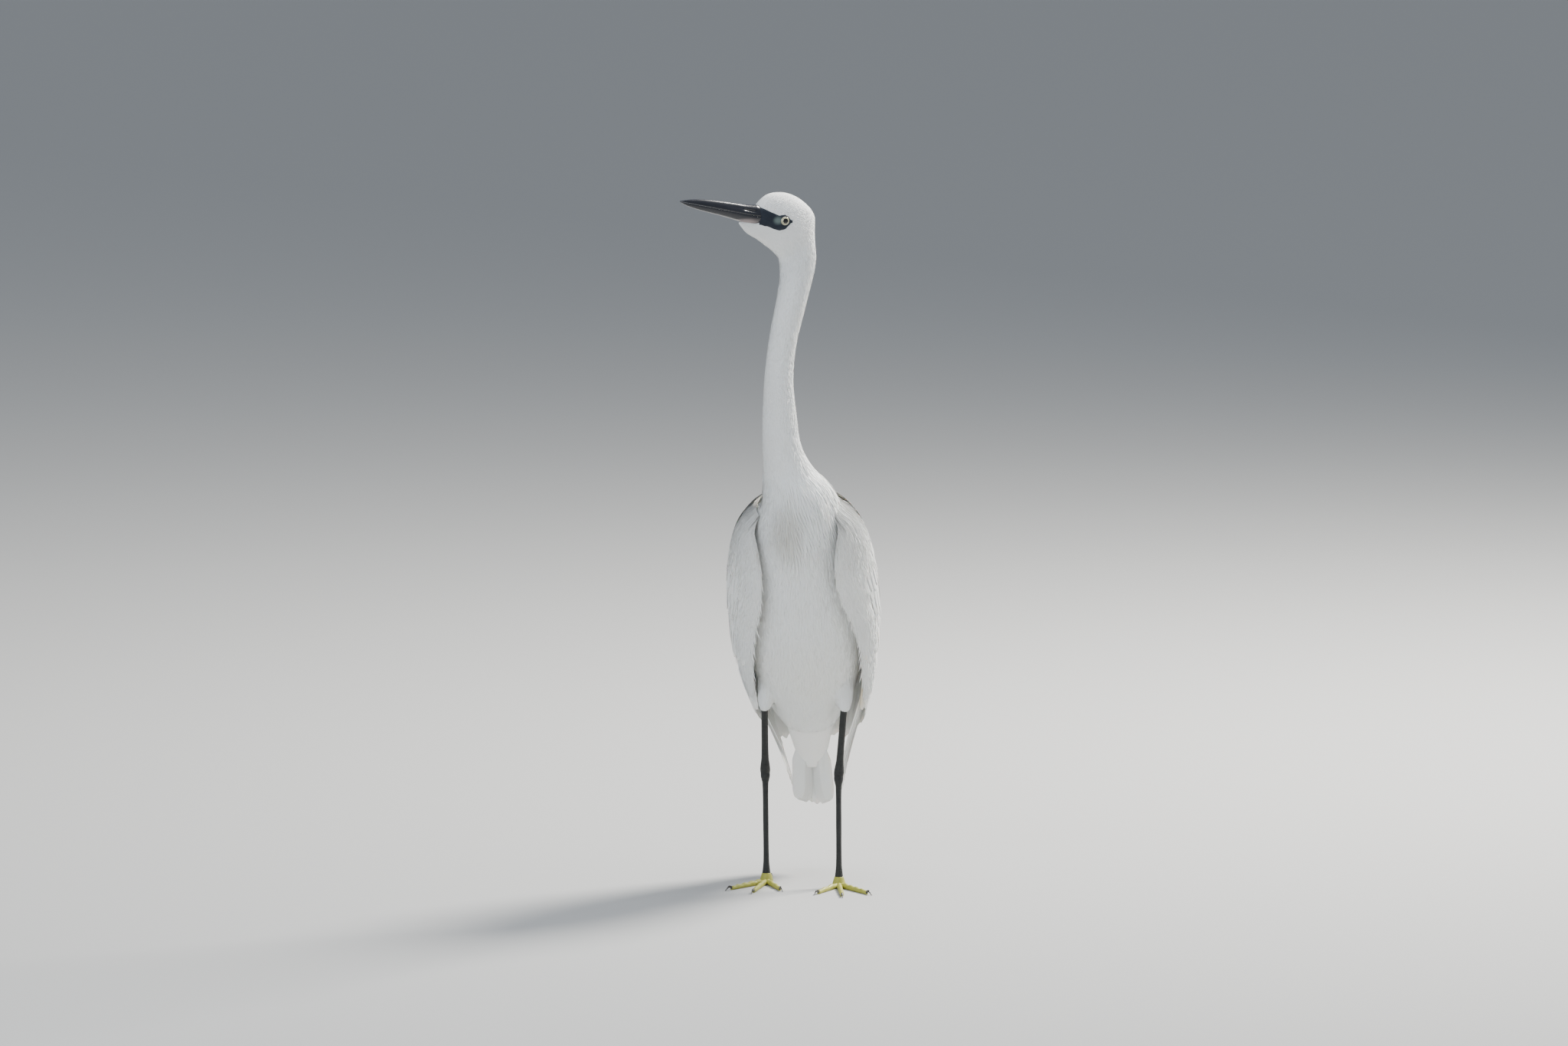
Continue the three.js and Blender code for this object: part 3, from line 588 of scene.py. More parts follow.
def barbs(name, rails, ups, directions, widths, patches, material):
    """One mesh of fine tapered barbs along their middle lines, shaded softly as the skin under them."""
    sides = np.cross(ups, directions)
    half = widths[:, None] * HALF_ROWS
    left, right = rails - sides * half[..., None], rails + sides * half[..., None]
    points = np.concatenate([left[:, :3], right[:, :3], rails[:, 3:]], 1).reshape(-1, 3)
    base = np.arange(len(rails))[:, None] * 7
    quads = np.concatenate([base + np.array([[r, r + 1, r + 4, r + 3]]) for r in range(2)], 1).reshape(-1, 4)
    tips = base + np.array([[2, 6, 5]])
    mesh = bpy.data.meshes.new(name)
    mesh.vertices.add(len(points))
    mesh.vertices.foreach_set("co", to_world(points).astype(np.float32).ravel())
    loops = np.concatenate([quads.ravel(), tips.ravel()])
    mesh.loops.add(len(loops))
    mesh.loops.foreach_set("vertex_index", loops.astype(np.int32))
    starts = np.concatenate([np.arange(len(quads)) * 4, len(quads) * 4 + np.arange(len(tips)) * 3])
    mesh.polygons.add(len(starts))
    mesh.polygons.foreach_set("loop_start", starts.astype(np.int32))
    mesh.polygons.foreach_set("use_smooth", np.ones(len(starts), bool))
    mesh.materials.append(material)
    mesh.update(calc_edges=True)
    soft = ups + sides * draw.normal(0, 0.16, len(rails))[:, None, None]
    splay = sides[:, :3] * SPLAY
    soft = np.concatenate([soft[:, :3] - splay, soft[:, :3] + splay, soft[:, 3:]], 1)
    soft = (soft @ turn.T).reshape(-1, 3)
    soft /= np.linalg.norm(soft, axis=1, keepdims=True)
    mesh.normals_split_custom_set_from_vertices(soft.tolist())
    patch_map = mesh.uv_layers.new(name="OFBake")
    local = np.array([[0, 0], [0, 0.4], [0, 0.8], [1, 0], [1, 0.4], [1, 0.8], [0.5, 1]]) * TUFT_PATCH
    uv = (patches[:, None, :] + local).reshape(-1, 2)[loops]
    patch_map.data.foreach_set("uv", uv.astype(np.float32).ravel())
    made = bpy.data.objects.new(name, mesh)
    bpy.context.scene.collection.objects.link(made)
    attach(made, "root")


def fan(roots, normals, directions, lengths, widths, lift, count, spread):
    """Spreads each feather into a fan of barbs, its middle ones longest."""
    turns = np.linspace(-1, 1, count)
    directions = flat_on(normals, directions)
    sides = np.cross(normals, directions)
    apart = turns[None, :, None] * (widths * count * ROOT_SPACING)[:, None, None]
    rooted = roots[:, None, :] + sides[:, None, :] * apart
    wide = (turns * spread)[None, :, None]
    spun = directions[:, None, :] * np.cos(wide) + sides[:, None, :] * np.sin(wide)
    long = lengths[:, None] * (1 - 0.2 * turns**2) * draw.uniform(0.9, 1.1, (len(roots), count))
    return (
        rooted.reshape(-1, 3),
        np.repeat(normals, count, 0),
        spun.reshape(-1, 3),
        long.ravel(),
        np.repeat(widths, count) * draw.uniform(0.8, 1.2, len(roots) * count),
        np.repeat(lift, count) * draw.uniform(0.6, 1.3, len(roots) * count),
    )


def swirl(points, directions, normals, amount):
    """Turns the lie a little, in slow waves over the body and at random, so that the coat isn't combed."""
    wave = np.sin(points[:, 2] / 17 + points[:, 0] / 9) + np.sin(points[:, 1] / 11 - points[:, 2] / 29 + 2)
    angle = amount * (0.45 * wave + draw.normal(0, 0.6, len(points)))
    sides = np.cross(normals, directions)
    return directions * np.cos(angle)[:, None] + sides * np.sin(angle)[:, None]


BILL_ROOT = 42.0
EYE_CLEAR = 5.6
LORE_FORWARD = np.array([14.5, 20, 25.5, 31, 36, 43])
LORE_TOP = np.array([1.0, 6.2, 5.4, 8.0, 10.4, 13.4])
LORE_BOTTOM = np.array([-1.5, -6.8, -8.0, -6.2, -3.9, -3.0])


def clear_of_face(points):
    """Which points are off the bill, the eyes and the bare skin between them."""
    forward, left, up = head_place(points)
    flank = np.abs(left) > 2.5
    near_eye = np.hypot(forward - EYE_PLACE[0], up - EYE_PLACE[2]) < EYE_CLEAR
    top = np.interp(forward, LORE_FORWARD, LORE_TOP)
    bottom = np.interp(forward, LORE_FORWARD, LORE_BOTTOM)
    bare = (forward > LORE_FORWARD[0]) & (up < top - 0.5) & (up > bottom + 0.5)
    on_bill = (forward > BILL_ROOT + 0.5) & (up >= 0.5 - (forward - BILL_ROOT) * 0.05)
    return ~(flank & (near_eye | bare)) & ~on_bill


COAT_BLEND = 8.0
SWIRL = 0.1
FAN_SPREAD = 0.16
FINEST_BARB = 0.35
COATS = {
    "head_plumage": dict(count=22500, barbs=2, low=583, high=700, long=1, width=0.15, lift=0.32),
    "neck_plumage": dict(count=13000, barbs=3, low=372, high=600, long=1, width=0.1, lift=0.7),
    "breast_plumage": dict(count=7600, barbs=5, low=250, high=392, long=1, width=0.08, lift=1.2),
    "belly_plumage": dict(count=7600, barbs=5, low=100, high=262, long=1, width=0.08, lift=1.5),
    "chest_plumes": dict(count=900, barbs=5, low=326, high=394, long=2, width=0.035, lift=2.1),
}
for coat_name, coat in COATS.items():

    def weight(points, coat=coat):
        low, high = points[:, 2] - coat["low"], coat["high"] - points[:, 2]
        _, length, _ = lie(points)
        return np.clip(low / COAT_BLEND, 0, 1) * np.clip(high / COAT_BLEND, 0, 1) / length**1.3

    roots, normals = scatter(coat["count"], weight)
    keep = clear_of_face(roots)
    roots, normals = roots[keep], normals[keep]
    directions, lengths, ways = lie(roots)
    directions = swirl(roots, directions, normals, SWIRL)
    short = np.clip(lengths / BODY_LENGTH(ways)[:, 0], 0.4, 1)
    lengths = lengths * coat["long"] * draw.uniform(0.85, 1.15, len(roots))
    widths = FINEST_BARB + lengths * coat["width"]
    lift = coat["lift"] * short
    fanned = fan(roots, normals, directions, lengths, widths, lift, coat["barbs"], FAN_SPREAD)
    rails, ups, directions = laid_on_skin(*fanned[:4], fanned[5])
    barbs(coat_name, rails, ups, directions, fanned[4], unwrap(fanned[0]), down_finish)

# Bill
# Two long halves of smooth black horn that meet along the mouth line, with a slit of a nostril in a shallow
# groove. The root of the lower half is paler, a dull pinkish grey.
BILL_LENGTH = 86.0
BILL_RISE = math.radians(12.15)
BILL_HEIGHT = 4.9
MOUTH_GAP = 0.3
bill_form = curve([
    [0, 7.8, 10.9, 8.3],
    [0.18, 6.6, 8.9, 7.5],
    [0.32, 5.7, 8.3, 6.5],
    [0.46, 5, 7.8, 5.6],
    [0.6, 4.3, 7, 5],
    [0.75, 3.4, 5.7, 4.2],
    [0.89, 2.1, 3.4, 2.8],
    [1, 0.5, 0.7, 0.5],
])
bill_finish = finish("black horn", 0.24, Coat_Weight=0.3, Coat_Roughness=0.1, Specular_IOR_Level=0.35)
mottled(bill_finish, light=(0.006, 0.007, 0.011), dark=(0.02, 0.022, 0.03), scale=90, amount=0.8, patches=[
    ((0.36, 0.29, 0.28), on_head(57, 0, -0.5), (19, 19, 6.5), 0.9),
])
bumped(bill_finish, grain, Scale=420, Stretch=(0.5, 0.5, 1.6), Detail=6, Strength=0.35, Distance=0.0003)
BILL_BACK = -4.0
BILL_TUCK = 9.0
NOSTRIL = 12.3
NOSTRIL_HALF = 6.2
NOSTRIL_ABOVE = 3.9
NOSTRIL_DEPTH = 0.26
GROOVE = 17.0
GROOVE_HALF = 20.0
GROOVE_ABOVE = 4.3
GROOVE_DEPTH = 0.06
for half_name, above in (("bill_upper", 1), ("bill_lower", -1)):
    along, angle = np.meshgrid(
        np.concatenate([[BILL_BACK], np.linspace(0.3, 26, 60), np.linspace(27, BILL_LENGTH, 50)]),
        np.linspace(0, math.pi, 40),
        indexing="ij",
    )
    width, upper, lower = np.moveaxis(bill_form(along / BILL_LENGTH), -1, 0)
    depth = upper if above > 0 else lower
    c, s = np.cos(angle), np.abs(np.sin(angle))
    rise = MOUTH_GAP / 2 + (depth - MOUTH_GAP / 2) * s**0.9
    reach = width * np.sign(c) * np.abs(c) ** 0.85
    tuck = 1 - 0.2 * np.clip(1 - (along - BILL_BACK) / BILL_TUCK, 0, 1) ** 1.5
    reach, rise = reach * tuck, rise * tuck
    if above > 0:
        slit = np.exp(-(((along - NOSTRIL) / NOSTRIL_HALF) ** 4) - ((rise - NOSTRIL_ABOVE) / 0.55) ** 2)
        groove = np.exp(-(((along - GROOVE) / GROOVE_HALF) ** 4) - ((rise - GROOVE_ABOVE) / 1.7) ** 2)
        reach = reach * (1 - NOSTRIL_DEPTH * slit - GROOVE_DEPTH * groove)
    forward = BILL_ROOT + along * math.cos(BILL_RISE) - above * rise * math.sin(BILL_RISE)
    height = BILL_HEIGHT + along * math.sin(BILL_RISE) + above * rise * math.cos(BILL_RISE)
    grid = on_head(forward, reach, height)
    if above < 0:
        grid = grid[:, ::-1]
    half = lofted(half_name.replace("bill", "bill_horn"), grid, bill_finish)
    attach(half, "root")
    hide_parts(half_name)

# Bare skin of the face
# Thin dark skin runs from the root of the bill to round the eye. It is slate black, with a dull grey green
# patch in front of the eye, and its edges are hidden by the first short feathers.
face_finish = finish("slate facial skin", 0.55, Specular_IOR_Level=0.22)
mottled(face_finish, light=(0.009, 0.012, 0.02), dark=(0.026, 0.034, 0.045), scale=170, amount=0.9, patches=[
    ((0.13, 0.17, 0.16), on_head(27, side * 12.5, 1.2), (6, 6, 5), 0.85) for side in (1, -1)
])
bumped(face_finish, grain, Scale=900, Stretch=(1, 1, 1), Detail=6, Strength=0.5, Distance=0.0003)
LORE_SINK = 1.35
LORE_EDGE = 0.04
BILL_OVERLAP = 38.5
CREASE_DEPTH = 0.35
for side_name, side in (("left", 1), ("right", -1)):
    shares = np.linspace(-LORE_EDGE, 1 + LORE_EDGE, 26)
    forward, share = np.meshgrid(np.linspace(13.5, 43.5, 60), shares, indexing="ij")
    top = np.interp(forward, LORE_FORWARD, LORE_TOP)
    bottom = np.interp(forward, LORE_FORWARD, LORE_BOTTOM)
    up = bottom + (top - bottom) * share
    width, crown, widest, throat = np.moveaxis(head_form(forward), -1, 0)
    reach_up = np.where(up > widest, crown - widest, widest - throat) - HEAD_COAT * 0.2
    s = np.clip((up - widest) / reach_up, -1, 1)
    c = np.sqrt(np.clip(1 - np.abs(s) ** (2 / HEAD_ROUNDNESS), 0, 1)) ** HEAD_ROUNDNESS
    edge = np.minimum(np.minimum(share + LORE_EDGE, 1 + LORE_EDGE - share) * 9, 1)
    sunk = LORE_SINK - edge + 1.4 * np.clip((forward - BILL_OVERLAP) / 5, 0, 1) ** 1.5
    mouth_line = BILL_HEIGHT + (forward - BILL_ROOT) * 0.42
    crease = CREASE_DEPTH * np.exp(-(((up - mouth_line) / 0.5) ** 2)) * (forward > 26)
    points = on_head(forward, side * ((width - sunk - crease) * c), up).reshape(-1, 3)
    quads = grid_faces(*forward.shape)[:, ::side]
    lore = piece("facial_skin_" + side_name, points, quads.tolist(), face_finish)
    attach(lore, "root")

# Eyes
# Glassy balls with a black pupil and a pale yellow iris under a clear coat, each in a thin dark ring of
# bare skin that comes to a point at its rear.
EYE_RADIUS = 5.5
EYE_AIM = math.radians(14)
EYE_SIDES = 64
IRIS_EDGE = math.asin(4.35 / EYE_RADIUS)
PUPIL_EDGE = math.asin(2.3 / EYE_RADIUS)
LID_WIDE = 4.7
LID_TALL = 4.45
LID_OUT = 2.75
LID_THICK = 0.65
LID_POINT = 0.55
CORNEA_BULGE = 0.03
pupil_finish = finish("pupil", 0.08, Base_Color=(0.002, 0.002, 0.003, 1), Coat_Weight=0.4)
iris_finish = finish("pale iris", 0.25, Coat_Weight=1.0, Coat_Roughness=0.02)
mottled(iris_finish, light=(0.5, 0.47, 0.29), dark=(0.24, 0.23, 0.14), scale=1200, amount=0.9)
dark_finish = finish("dark rim of the eye", 0.2, Base_Color=(0.01, 0.01, 0.012, 1), Coat_Weight=0.8)
polar = np.concatenate([
    [0.002],
    np.linspace(0.1, PUPIL_EDGE, 8),
    np.linspace(PUPIL_EDGE + 0.02, IRIS_EDGE, 14),
    np.linspace(IRIS_EDGE + 0.03, math.pi - 0.01, 26),
])
for side_name, side in (("left", 1), ("right", -1)):
    aim = head_forward * math.sin(EYE_AIM) + head_left * side * math.cos(EYE_AIM)
    across = np.cross(aim, [0, 0, 1.0])
    across /= np.linalg.norm(across)
    axes = np.stack([aim, across, np.cross(across, aim)])
    centre = on_head(EYE_PLACE[0], side * EYE_PLACE[1], EYE_PLACE[2])
    p, a = ringed(polar, EYE_SIDES)
    cornea = EYE_RADIUS * (1 + CORNEA_BULGE * np.exp(-((p / IRIS_EDGE) ** 4)))
    ball = np.stack([np.cos(p), np.sin(p) * np.cos(a), np.sin(p) * np.sin(a)], -1) * cornea[..., None]
    eye = lofted("eye_globe_" + side_name, centre + ball @ axes, pupil_finish)
    eye.data.materials.append(iris_finish)
    eye.data.materials.append(dark_finish)
    zones = np.searchsorted([PUPIL_EDGE - 1e-6, IRIS_EDGE - 1e-6], polar[:-1], side="right")
    zones = np.append(np.repeat(zones, EYE_SIDES), [0, 2])
    eye.data.polygons.foreach_set("material_index", zones.astype(np.int32))
    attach(eye, "root")
    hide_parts("eye_" + side_name)

    t, k = ringed(np.linspace(0, 2 * math.pi, 72, endpoint=False), 14)
    rear_corner = math.pi if side > 0 else 0
    rear = np.exp(-((np.angle(np.exp(1j * (t - rear_corner))) / 0.35) ** 2))
    wide = LID_WIDE + LID_THICK * np.cos(k) * (1 + 0.2 * rear) + LID_POINT * rear
    tall = LID_TALL + LID_THICK * np.cos(k)
    out = LID_OUT + 0.7 * np.sin(k) - 0.7 * rear
    points = centre + np.stack([out, wide * np.cos(t), tall * np.sin(t)], -1).reshape(-1, 3) @ axes
    quads = grid_faces(*t.shape, round_rows=True, round_columns=True)[:, [0, 3, 2, 1]]
    lid = piece("lid_" + side_name, points, quads.tolist(), face_finish)
    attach(lid, "root")

# Wings
# Each folded wing is layered like roof tiles: long primaries and secondaries below, tertials and scapulars
# over the back, and rows of coverts that get smaller towards the shoulder. All are stiff white vanes, with
# soft small feathers over the front edge and the form of the arm beneath.
SHOULDER = np.array([0.0, -52.0, 350.0])
BODY_LEAN = math.radians(28.1)
line_down = np.array([0, math.sin(BODY_LEAN), -math.cos(BODY_LEAN)])
line_back = np.array([0, math.cos(BODY_LEAN), math.sin(BODY_LEAN)])
WING_SPREAD = 4.0
SPREAD_START = 150.0
SPREAD_LENGTH = 160.0
WING_OPEN = 12.0
OPENING_LENGTH = 240.0
MIDLINE = 88.0
wing_form = curve([
    [-6, 42, 42, 42, -20, 20],
    [4, 51, 47, 46, -38, 44],
    [18, 58, 49.5, 51, -50, 60],
    [40, 63.8, 51.5, 57, -56, 74],
    [70, 68.2, 52, 60.5, -53, 82],
    [100, 70, 50.5, 61, -47, 85],
    [130, 69.6, 47.5, 59.5, -42, 86.5],
    [160, 67, 43, 55.5, -37, 87],
    [185, 62.5, 37.5, 49, -31, 87],
    [205, 57, 32.5, 42, -25, 86],
    [229, 49, 27, 33, -17, 85],
    [250, 41.5, 23, 26, -11, 82],
    [275, 33.5, 18.5, 19, -6, 76],
    [295, 29, 15.5, 14, -4, 62],
    [312, 26.5, 13, 11, -2, 40],
])


def on_lean(across, down, depth):
    """A point from the lean of the back: across the bird, down along it and out behind it."""
    point = SHOULDER + down[..., None] * line_down + np.asarray(depth)[..., None] * line_back
    point[..., 0] = across
    return point


def on_wing(side, down, angle, height):
    """A point on a wing's outer form, with a height over it. Angles are in degrees, 0 at the side."""
    width, back, front = np.moveaxis(wing_form(down)[..., :3], -1, 0)
    c, s = np.cos(np.radians(angle)), np.sin(np.radians(angle))
    depth = np.where(s > 0, back, front)
    spread = side * WING_SPREAD * np.clip((down - SPREAD_START) / SPREAD_LENGTH, 0, 1)
    return on_lean(side * c * (width + spread + height), down, s * (depth + height))


def front_opening(side, down):
    """How many degrees the left wing's front edge stands back from the breast. The right one's doesn't."""
    return WING_OPEN * (side > 0) * np.sin(math.pi * np.clip(down / OPENING_LENGTH, 0, 1))


vane_finish = finish(
    "white vanes", 0.6, Subsurface_Weight=0.06, Subsurface_Scale=0.003, Specular_IOR_Level=0.3
)
mottled(vane_finish, WHITE, CREAM, scale=30, amount=0.6, patches=[
    # Painted shade warmed by painted light through the feathers: ochre on the inner side of the left wing's
    # lower part.
    ((0.62, 0.48, 0.28), (48, 4, 185), (17, 48, 82), 0.75),
])
vane_tree = vane_finish.node_tree
vane_place = add(vane_tree, "UVMap", uv_map="vane")
vane_fit = add(vane_tree, "Mapping", {"Rotation": (0, 0, math.radians(24))})
vane_wave = add(vane_tree, "TexWave", {"Scale": 26, "Distortion": 2.5, "Detail": 3})
vane_bump = add(vane_tree, "Bump", {"Strength": 0.35, "Distance": 0.0003})
wire(
    vane_tree,
    (vane_place, "UV", vane_fit, "Vector"),
    (vane_fit, "Vector", vane_wave, "Vector"),
    (vane_wave, "Fac", vane_bump, "Height"),
    (vane_bump, "Normal", vane_tree.nodes["Principled BSDF"], "Normal"),
)

VANE_ROWS = 22
VANE_COLUMNS = 9
VANE_THICK = 0.22
vane_across = np.linspace(-1, 1, VANE_COLUMNS)
vane_across = np.sign(vane_across) * np.abs(vane_across) ** 1.35
vane_u, vane_s = np.meshgrid(np.linspace(0, 1, VANE_ROWS), vane_across, indexing="ij")
shaft = 0.3 * np.exp(-((vane_s / 0.08) ** 2)) * (1 - 0.8 * vane_u)


def fullness(u, pointed):
    """The vane's half width along it, as a share of its widest."""
    body = 0.5 + 0.5 * np.clip(u / 0.35, 0, 1) ** 0.7
    tip = np.sqrt(np.clip(1 - np.clip((u - 0.7) / 0.3, 0, 1) ** (1.5 if pointed else 2.6), 0, 1))
    return body * (0.06 + 0.94 * tip) * (1 - 0.25 * np.clip(u - 0.5, 0, 1) * pointed)


def vanes(name, surfaces, replaced=None):
    """One mesh of closed vanes from grids of points on their outer faces and their normals."""
    points, faces, uvs, bakes = [], [], [], []
    per_row = math.ceil(math.sqrt(len(surfaces)))
    top = grid_faces(VANE_ROWS, VANE_COLUMNS)
    under = VANE_ROWS * VANE_COLUMNS
    order = np.arange(under).reshape(VANE_ROWS, VANE_COLUMNS)
    rim = np.concatenate([order[0, :-1], order[:-1, -1], order[-1, :0:-1], order[:0:-1, 0]])
    after = np.roll(rim, -1)
    wall = np.stack([after, rim, rim + under, after + under], -1)
    one = np.concatenate([top, top[:, ::-1] + under, wall])
    for i, grid in enumerate(surfaces):
        normal = np.cross(np.gradient(grid, axis=0), np.gradient(grid, axis=1))
        normal /= np.linalg.norm(normal, axis=-1, keepdims=True) + 1e-9
        both = np.concatenate([grid.reshape(-1, 3), (grid + normal * VANE_THICK).reshape(-1, 3)])
        faces.append(one + len(points) * 2 * under)
        points.append(both)
        local = np.stack([vane_u.ravel(), vane_s.ravel() / 2 + 0.5], -1)
        uvs.append(np.tile(local * (6, 1) + (i * 0.37 % 1, 0), (2, 1)))
        cell = np.array([i % per_row, i // per_row]) / per_row
        bakes.append(np.tile(cell + (0.05 + 0.9 * local) / per_row, (2, 1)))
    made = piece(name, np.concatenate(points), np.concatenate(faces).tolist(), vane_finish)
    loops = np.empty(len(made.data.loops), np.int32)
    made.data.loops.foreach_get("vertex_index", loops)
    for map_name, places in (("vane", uvs), ("OFBake", bakes)):
        layer = made.data.uv_layers.new(name=map_name)
        layer.data.foreach_set("uv", np.concatenate(places)[loops].astype(np.float32).ravel())
    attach(made, "root")
    if replaced:
        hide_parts(replaced)


TIERS = {
    "primaries": dict(count=6, root=(136, 132), tip=(312, 284), root_angle=(-26, 12), tip_angle=(-4, 20),
                      half=8, tilt=0.02, heights=(-10.2, -10.2, -4.8), step=0.78, pointed=True),
    "secondaries": dict(count=10, root=(122, 122), tip=(206, 262), root_angle=(-41, 43), tip_angle=(-31, 42),
                        half=8.6, tilt=0.1, heights=(-7.6, -4.4, -1.2)),
    "tertials": dict(count=4, root=(98, 98), tip=(256, 268), root_angle=(54, 78), tip_angle=(34, 76),
                     half=9.5, tilt=0.12, heights=(-6.5, -2.2, -0.4)),
    "greater coverts": dict(count=13, root=(76, 76), tip=(146, 152), root_angle=(-48, 42),
                            tip_angle=(-42, 42), half=7.6, tilt=0.11, heights=(-5, -2.0, -1.5)),
    "median coverts": dict(count=14, root=(50, 50), tip=(100, 106), root_angle=(-51, 40),
                           tip_angle=(-49, 40), half=7.2, tilt=0.11, heights=(-3.4, -0.5, -0.3)),
    "lesser coverts": dict(count=14, root=(34, 34), tip=(72, 78), root_angle=(-53, 42),
                           tip_angle=(-51, 42), half=6.6, tilt=0.11, heights=(-2.6, 0.1, 0.2)),
    "small coverts": dict(count=14, root=(19, 19), tip=(50, 56), root_angle=(-50, 44),
                          tip_angle=(-52, 44), half=6, tilt=0.11, heights=(-1.8, 0.4, 0.5)),
    "marginal coverts": dict(count=12, root=(6, 6), tip=(32, 36), root_angle=(-28, 44),
                             tip_angle=(-36, 46), half=5.6, tilt=0.11, heights=(-2.4, -0.3, 0.2)),
    "long scapulars": dict(count=6, root=(60, 66), tip=(136, 190), root_angle=(47, 80), tip_angle=(46, 78),
                           half=8, tilt=0.13, heights=(-2.6, 0.3, 0.6), pointed=True),
    "middle scapulars": dict(count=6, root=(34, 40), tip=(94, 134), root_angle=(47, 80), tip_angle=(47, 79),
                             half=7.4, tilt=0.13, heights=(-2.2, 0.9, 1.1), pointed=True),
    "short scapulars": dict(count=6, root=(10, 16), tip=(60, 90), root_angle=(42, 79), tip_angle=(46, 79),
                            half=7, tilt=0.13, heights=(-1.8, 1.2, 1.4), pointed=True),
}


def between(pair, share):
    """A value from the first feather of a tier to its last."""
    return pair[0] + (pair[1] - pair[0]) * share


def rising(u, base, middle, end):
    """The height of a vane along it, from its buried root to its tip."""
    rise = np.clip(u / 0.3, 0, 1)
    rise = rise * rise * (3 - 2 * rise)
    return base * (1 - rise) + (middle + (end - middle) * u**2) * rise


VANE_CROWN = 0.5
VANE_RIPPLE = 0.05
RIPPLE_RATE = 60
SMALL_TRIES = 60000
SMALL_START = -9
SMALL_END = 185
SMALL_LENGTH = 13
EDGE_REACH = 13
SHOULDER_REACH = 24
arm_depth = curve([[-6, 1.4], [20, 1.8], [60, 3.2], [100, 5], [150, 7]])
for side_name, side in (("left", 1), ("right", -1)):
    surfaces = []
    for tier in TIERS.values():
        pointed = tier.get("pointed", False)
        for i in range(tier["count"]):
            v = i / (tier["count"] - 1)
            root = between(tier["root"], v) + draw.normal(0, 1)
            tip = between(tier["tip"], v) + draw.normal(0, 1.6)
            down = root + (tip - root) * vane_u
            root_angle = between(tier["root_angle"], v)
            tip_angle = between(tier["tip_angle"], v) + draw.normal(0, 0.8)
            centre = root_angle * (1 - vane_u) + tip_angle * vane_u + (1 - v) * front_opening(side, down)
            radius = np.linalg.norm(on_wing(side, down, centre, 0) - on_lean(0, down, 0), axis=-1)
            reach = vane_s * tier["half"] * fullness(vane_u, pointed)
            reach = reach * (1 + VANE_RIPPLE * np.sin(vane_u * RIPPLE_RATE + i) * np.abs(vane_s) ** 3)
            base, middle, end = [height + i * tier.get("step", 0) for height in tier["heights"]]
            height = rising(vane_u, base, middle, end) - tier["tilt"] * reach
            height = height + VANE_CROWN * np.cos(vane_s * math.pi / 2) + shaft + draw.normal(0, 0.12)
            angle = np.minimum(centre + np.degrees(reach / radius), MIDLINE + 0.2 * vane_s)
            grid = on_wing(side, down, angle, height)
            surfaces.append(grid if side > 0 else grid[:, ::-1])
    vanes("wing_feathers_" + side_name, surfaces, "wing_" + side_name)

    # Soft small feathers are tried all over the arm, and kept by the front edge, the shoulder and the back.
    down = draw.uniform(SMALL_START, SMALL_END, SMALL_TRIES)
    share = draw.uniform(0, 1, SMALL_TRIES) ** 1.3
    front, back = np.moveaxis(wing_form(down)[..., 3:], -1, 0)
    front = front + front_opening(side, down) - 4
    back = np.where(down < 66, MIDLINE - 1, back)
    angle = front + (back - front) * share
    chance = np.exp(-(((angle - front) / EDGE_REACH) ** 2)) * np.clip((SMALL_END - down) / 40, 0, 1)
    chance = np.maximum(chance, np.exp(-((np.clip(down, 0, None) / SHOULDER_REACH) ** 2)))
    chance = np.maximum(chance, np.clip((angle - 40) / 12, 0, 1) * np.clip((60 - down) / 25, 0, 1))
    keep = draw.random(SMALL_TRIES) < chance
    down, angle = down[keep], angle[keep]
    length = (SMALL_LENGTH + 0.06 * np.clip(down, 0, None)) * draw.uniform(0.8, 1.2, len(down))
    buried = 3.5 * np.clip((2 - down) / 8, 0, 1)
    down = down[:, None] + length[:, None] * ROWS
    slope = np.interp(down[:, 0], [0, 40, 220], [-0.35, 0.0, 0.12]) + draw.normal(0, 0.1, len(down))
    angle = np.minimum(angle[:, None] + slope[:, None] * (down - down[:, :1]), MIDLINE)
    height = draw.uniform(0.7, 1.25, len(down))[:, None] * np.array([-0.6, 0.9, 1.5, 1.7])
    height = height * np.clip((down[:, :1] + 16) / 22, 0.6, 1)
    height = height - buried[:, None] * np.array([1.0, 0.4, 0.1, 0.0])
    height = height + np.interp(down, [100, 150, 220], [0.0, -3.2, -3.0])
    rails = on_wing(side, down, angle, height)
    ups = on_wing(side, down, angle, height + 1) - rails
    ups /= np.linalg.norm(ups, axis=-1, keepdims=True)
    along = flat_on(ups, np.gradient(rails, axis=1))
    patches = np.stack([down[:, 0] / 240 * 0.96 + 0.02, (angle[:, 0] + 60) / 160 * 0.96 + 0.02], -1)
    barbs("wing_down_" + side_name, rails, ups, along, 0.45 + 0.075 * length, patches, down_finish)

    down, share = np.meshgrid(np.linspace(-5, 150, 40), np.linspace(0, 1, 30), indexing="ij")
    front, back = np.moveaxis(wing_form(down)[..., 3:], -1, 0)
    front = front + front_opening(side, down) + 3
    under = arm_depth(down)[..., 0]
    angle = front + (back - 2 - front) * share
    outer = on_wing(side, down, angle, -under)
    inner = on_wing(side, down, angle, -under - 0.8 - 4 * np.sin(math.pi * np.clip(share, 0.06, 0.97) ** 0.7))
    ring = np.concatenate([outer, inner[:, ::-1]], 1)
    if side < 0:
        ring = ring[:, ::-1]
    shell = lofted("wing_arm_" + side_name, ring, down_finish)
    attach(shell, "root")

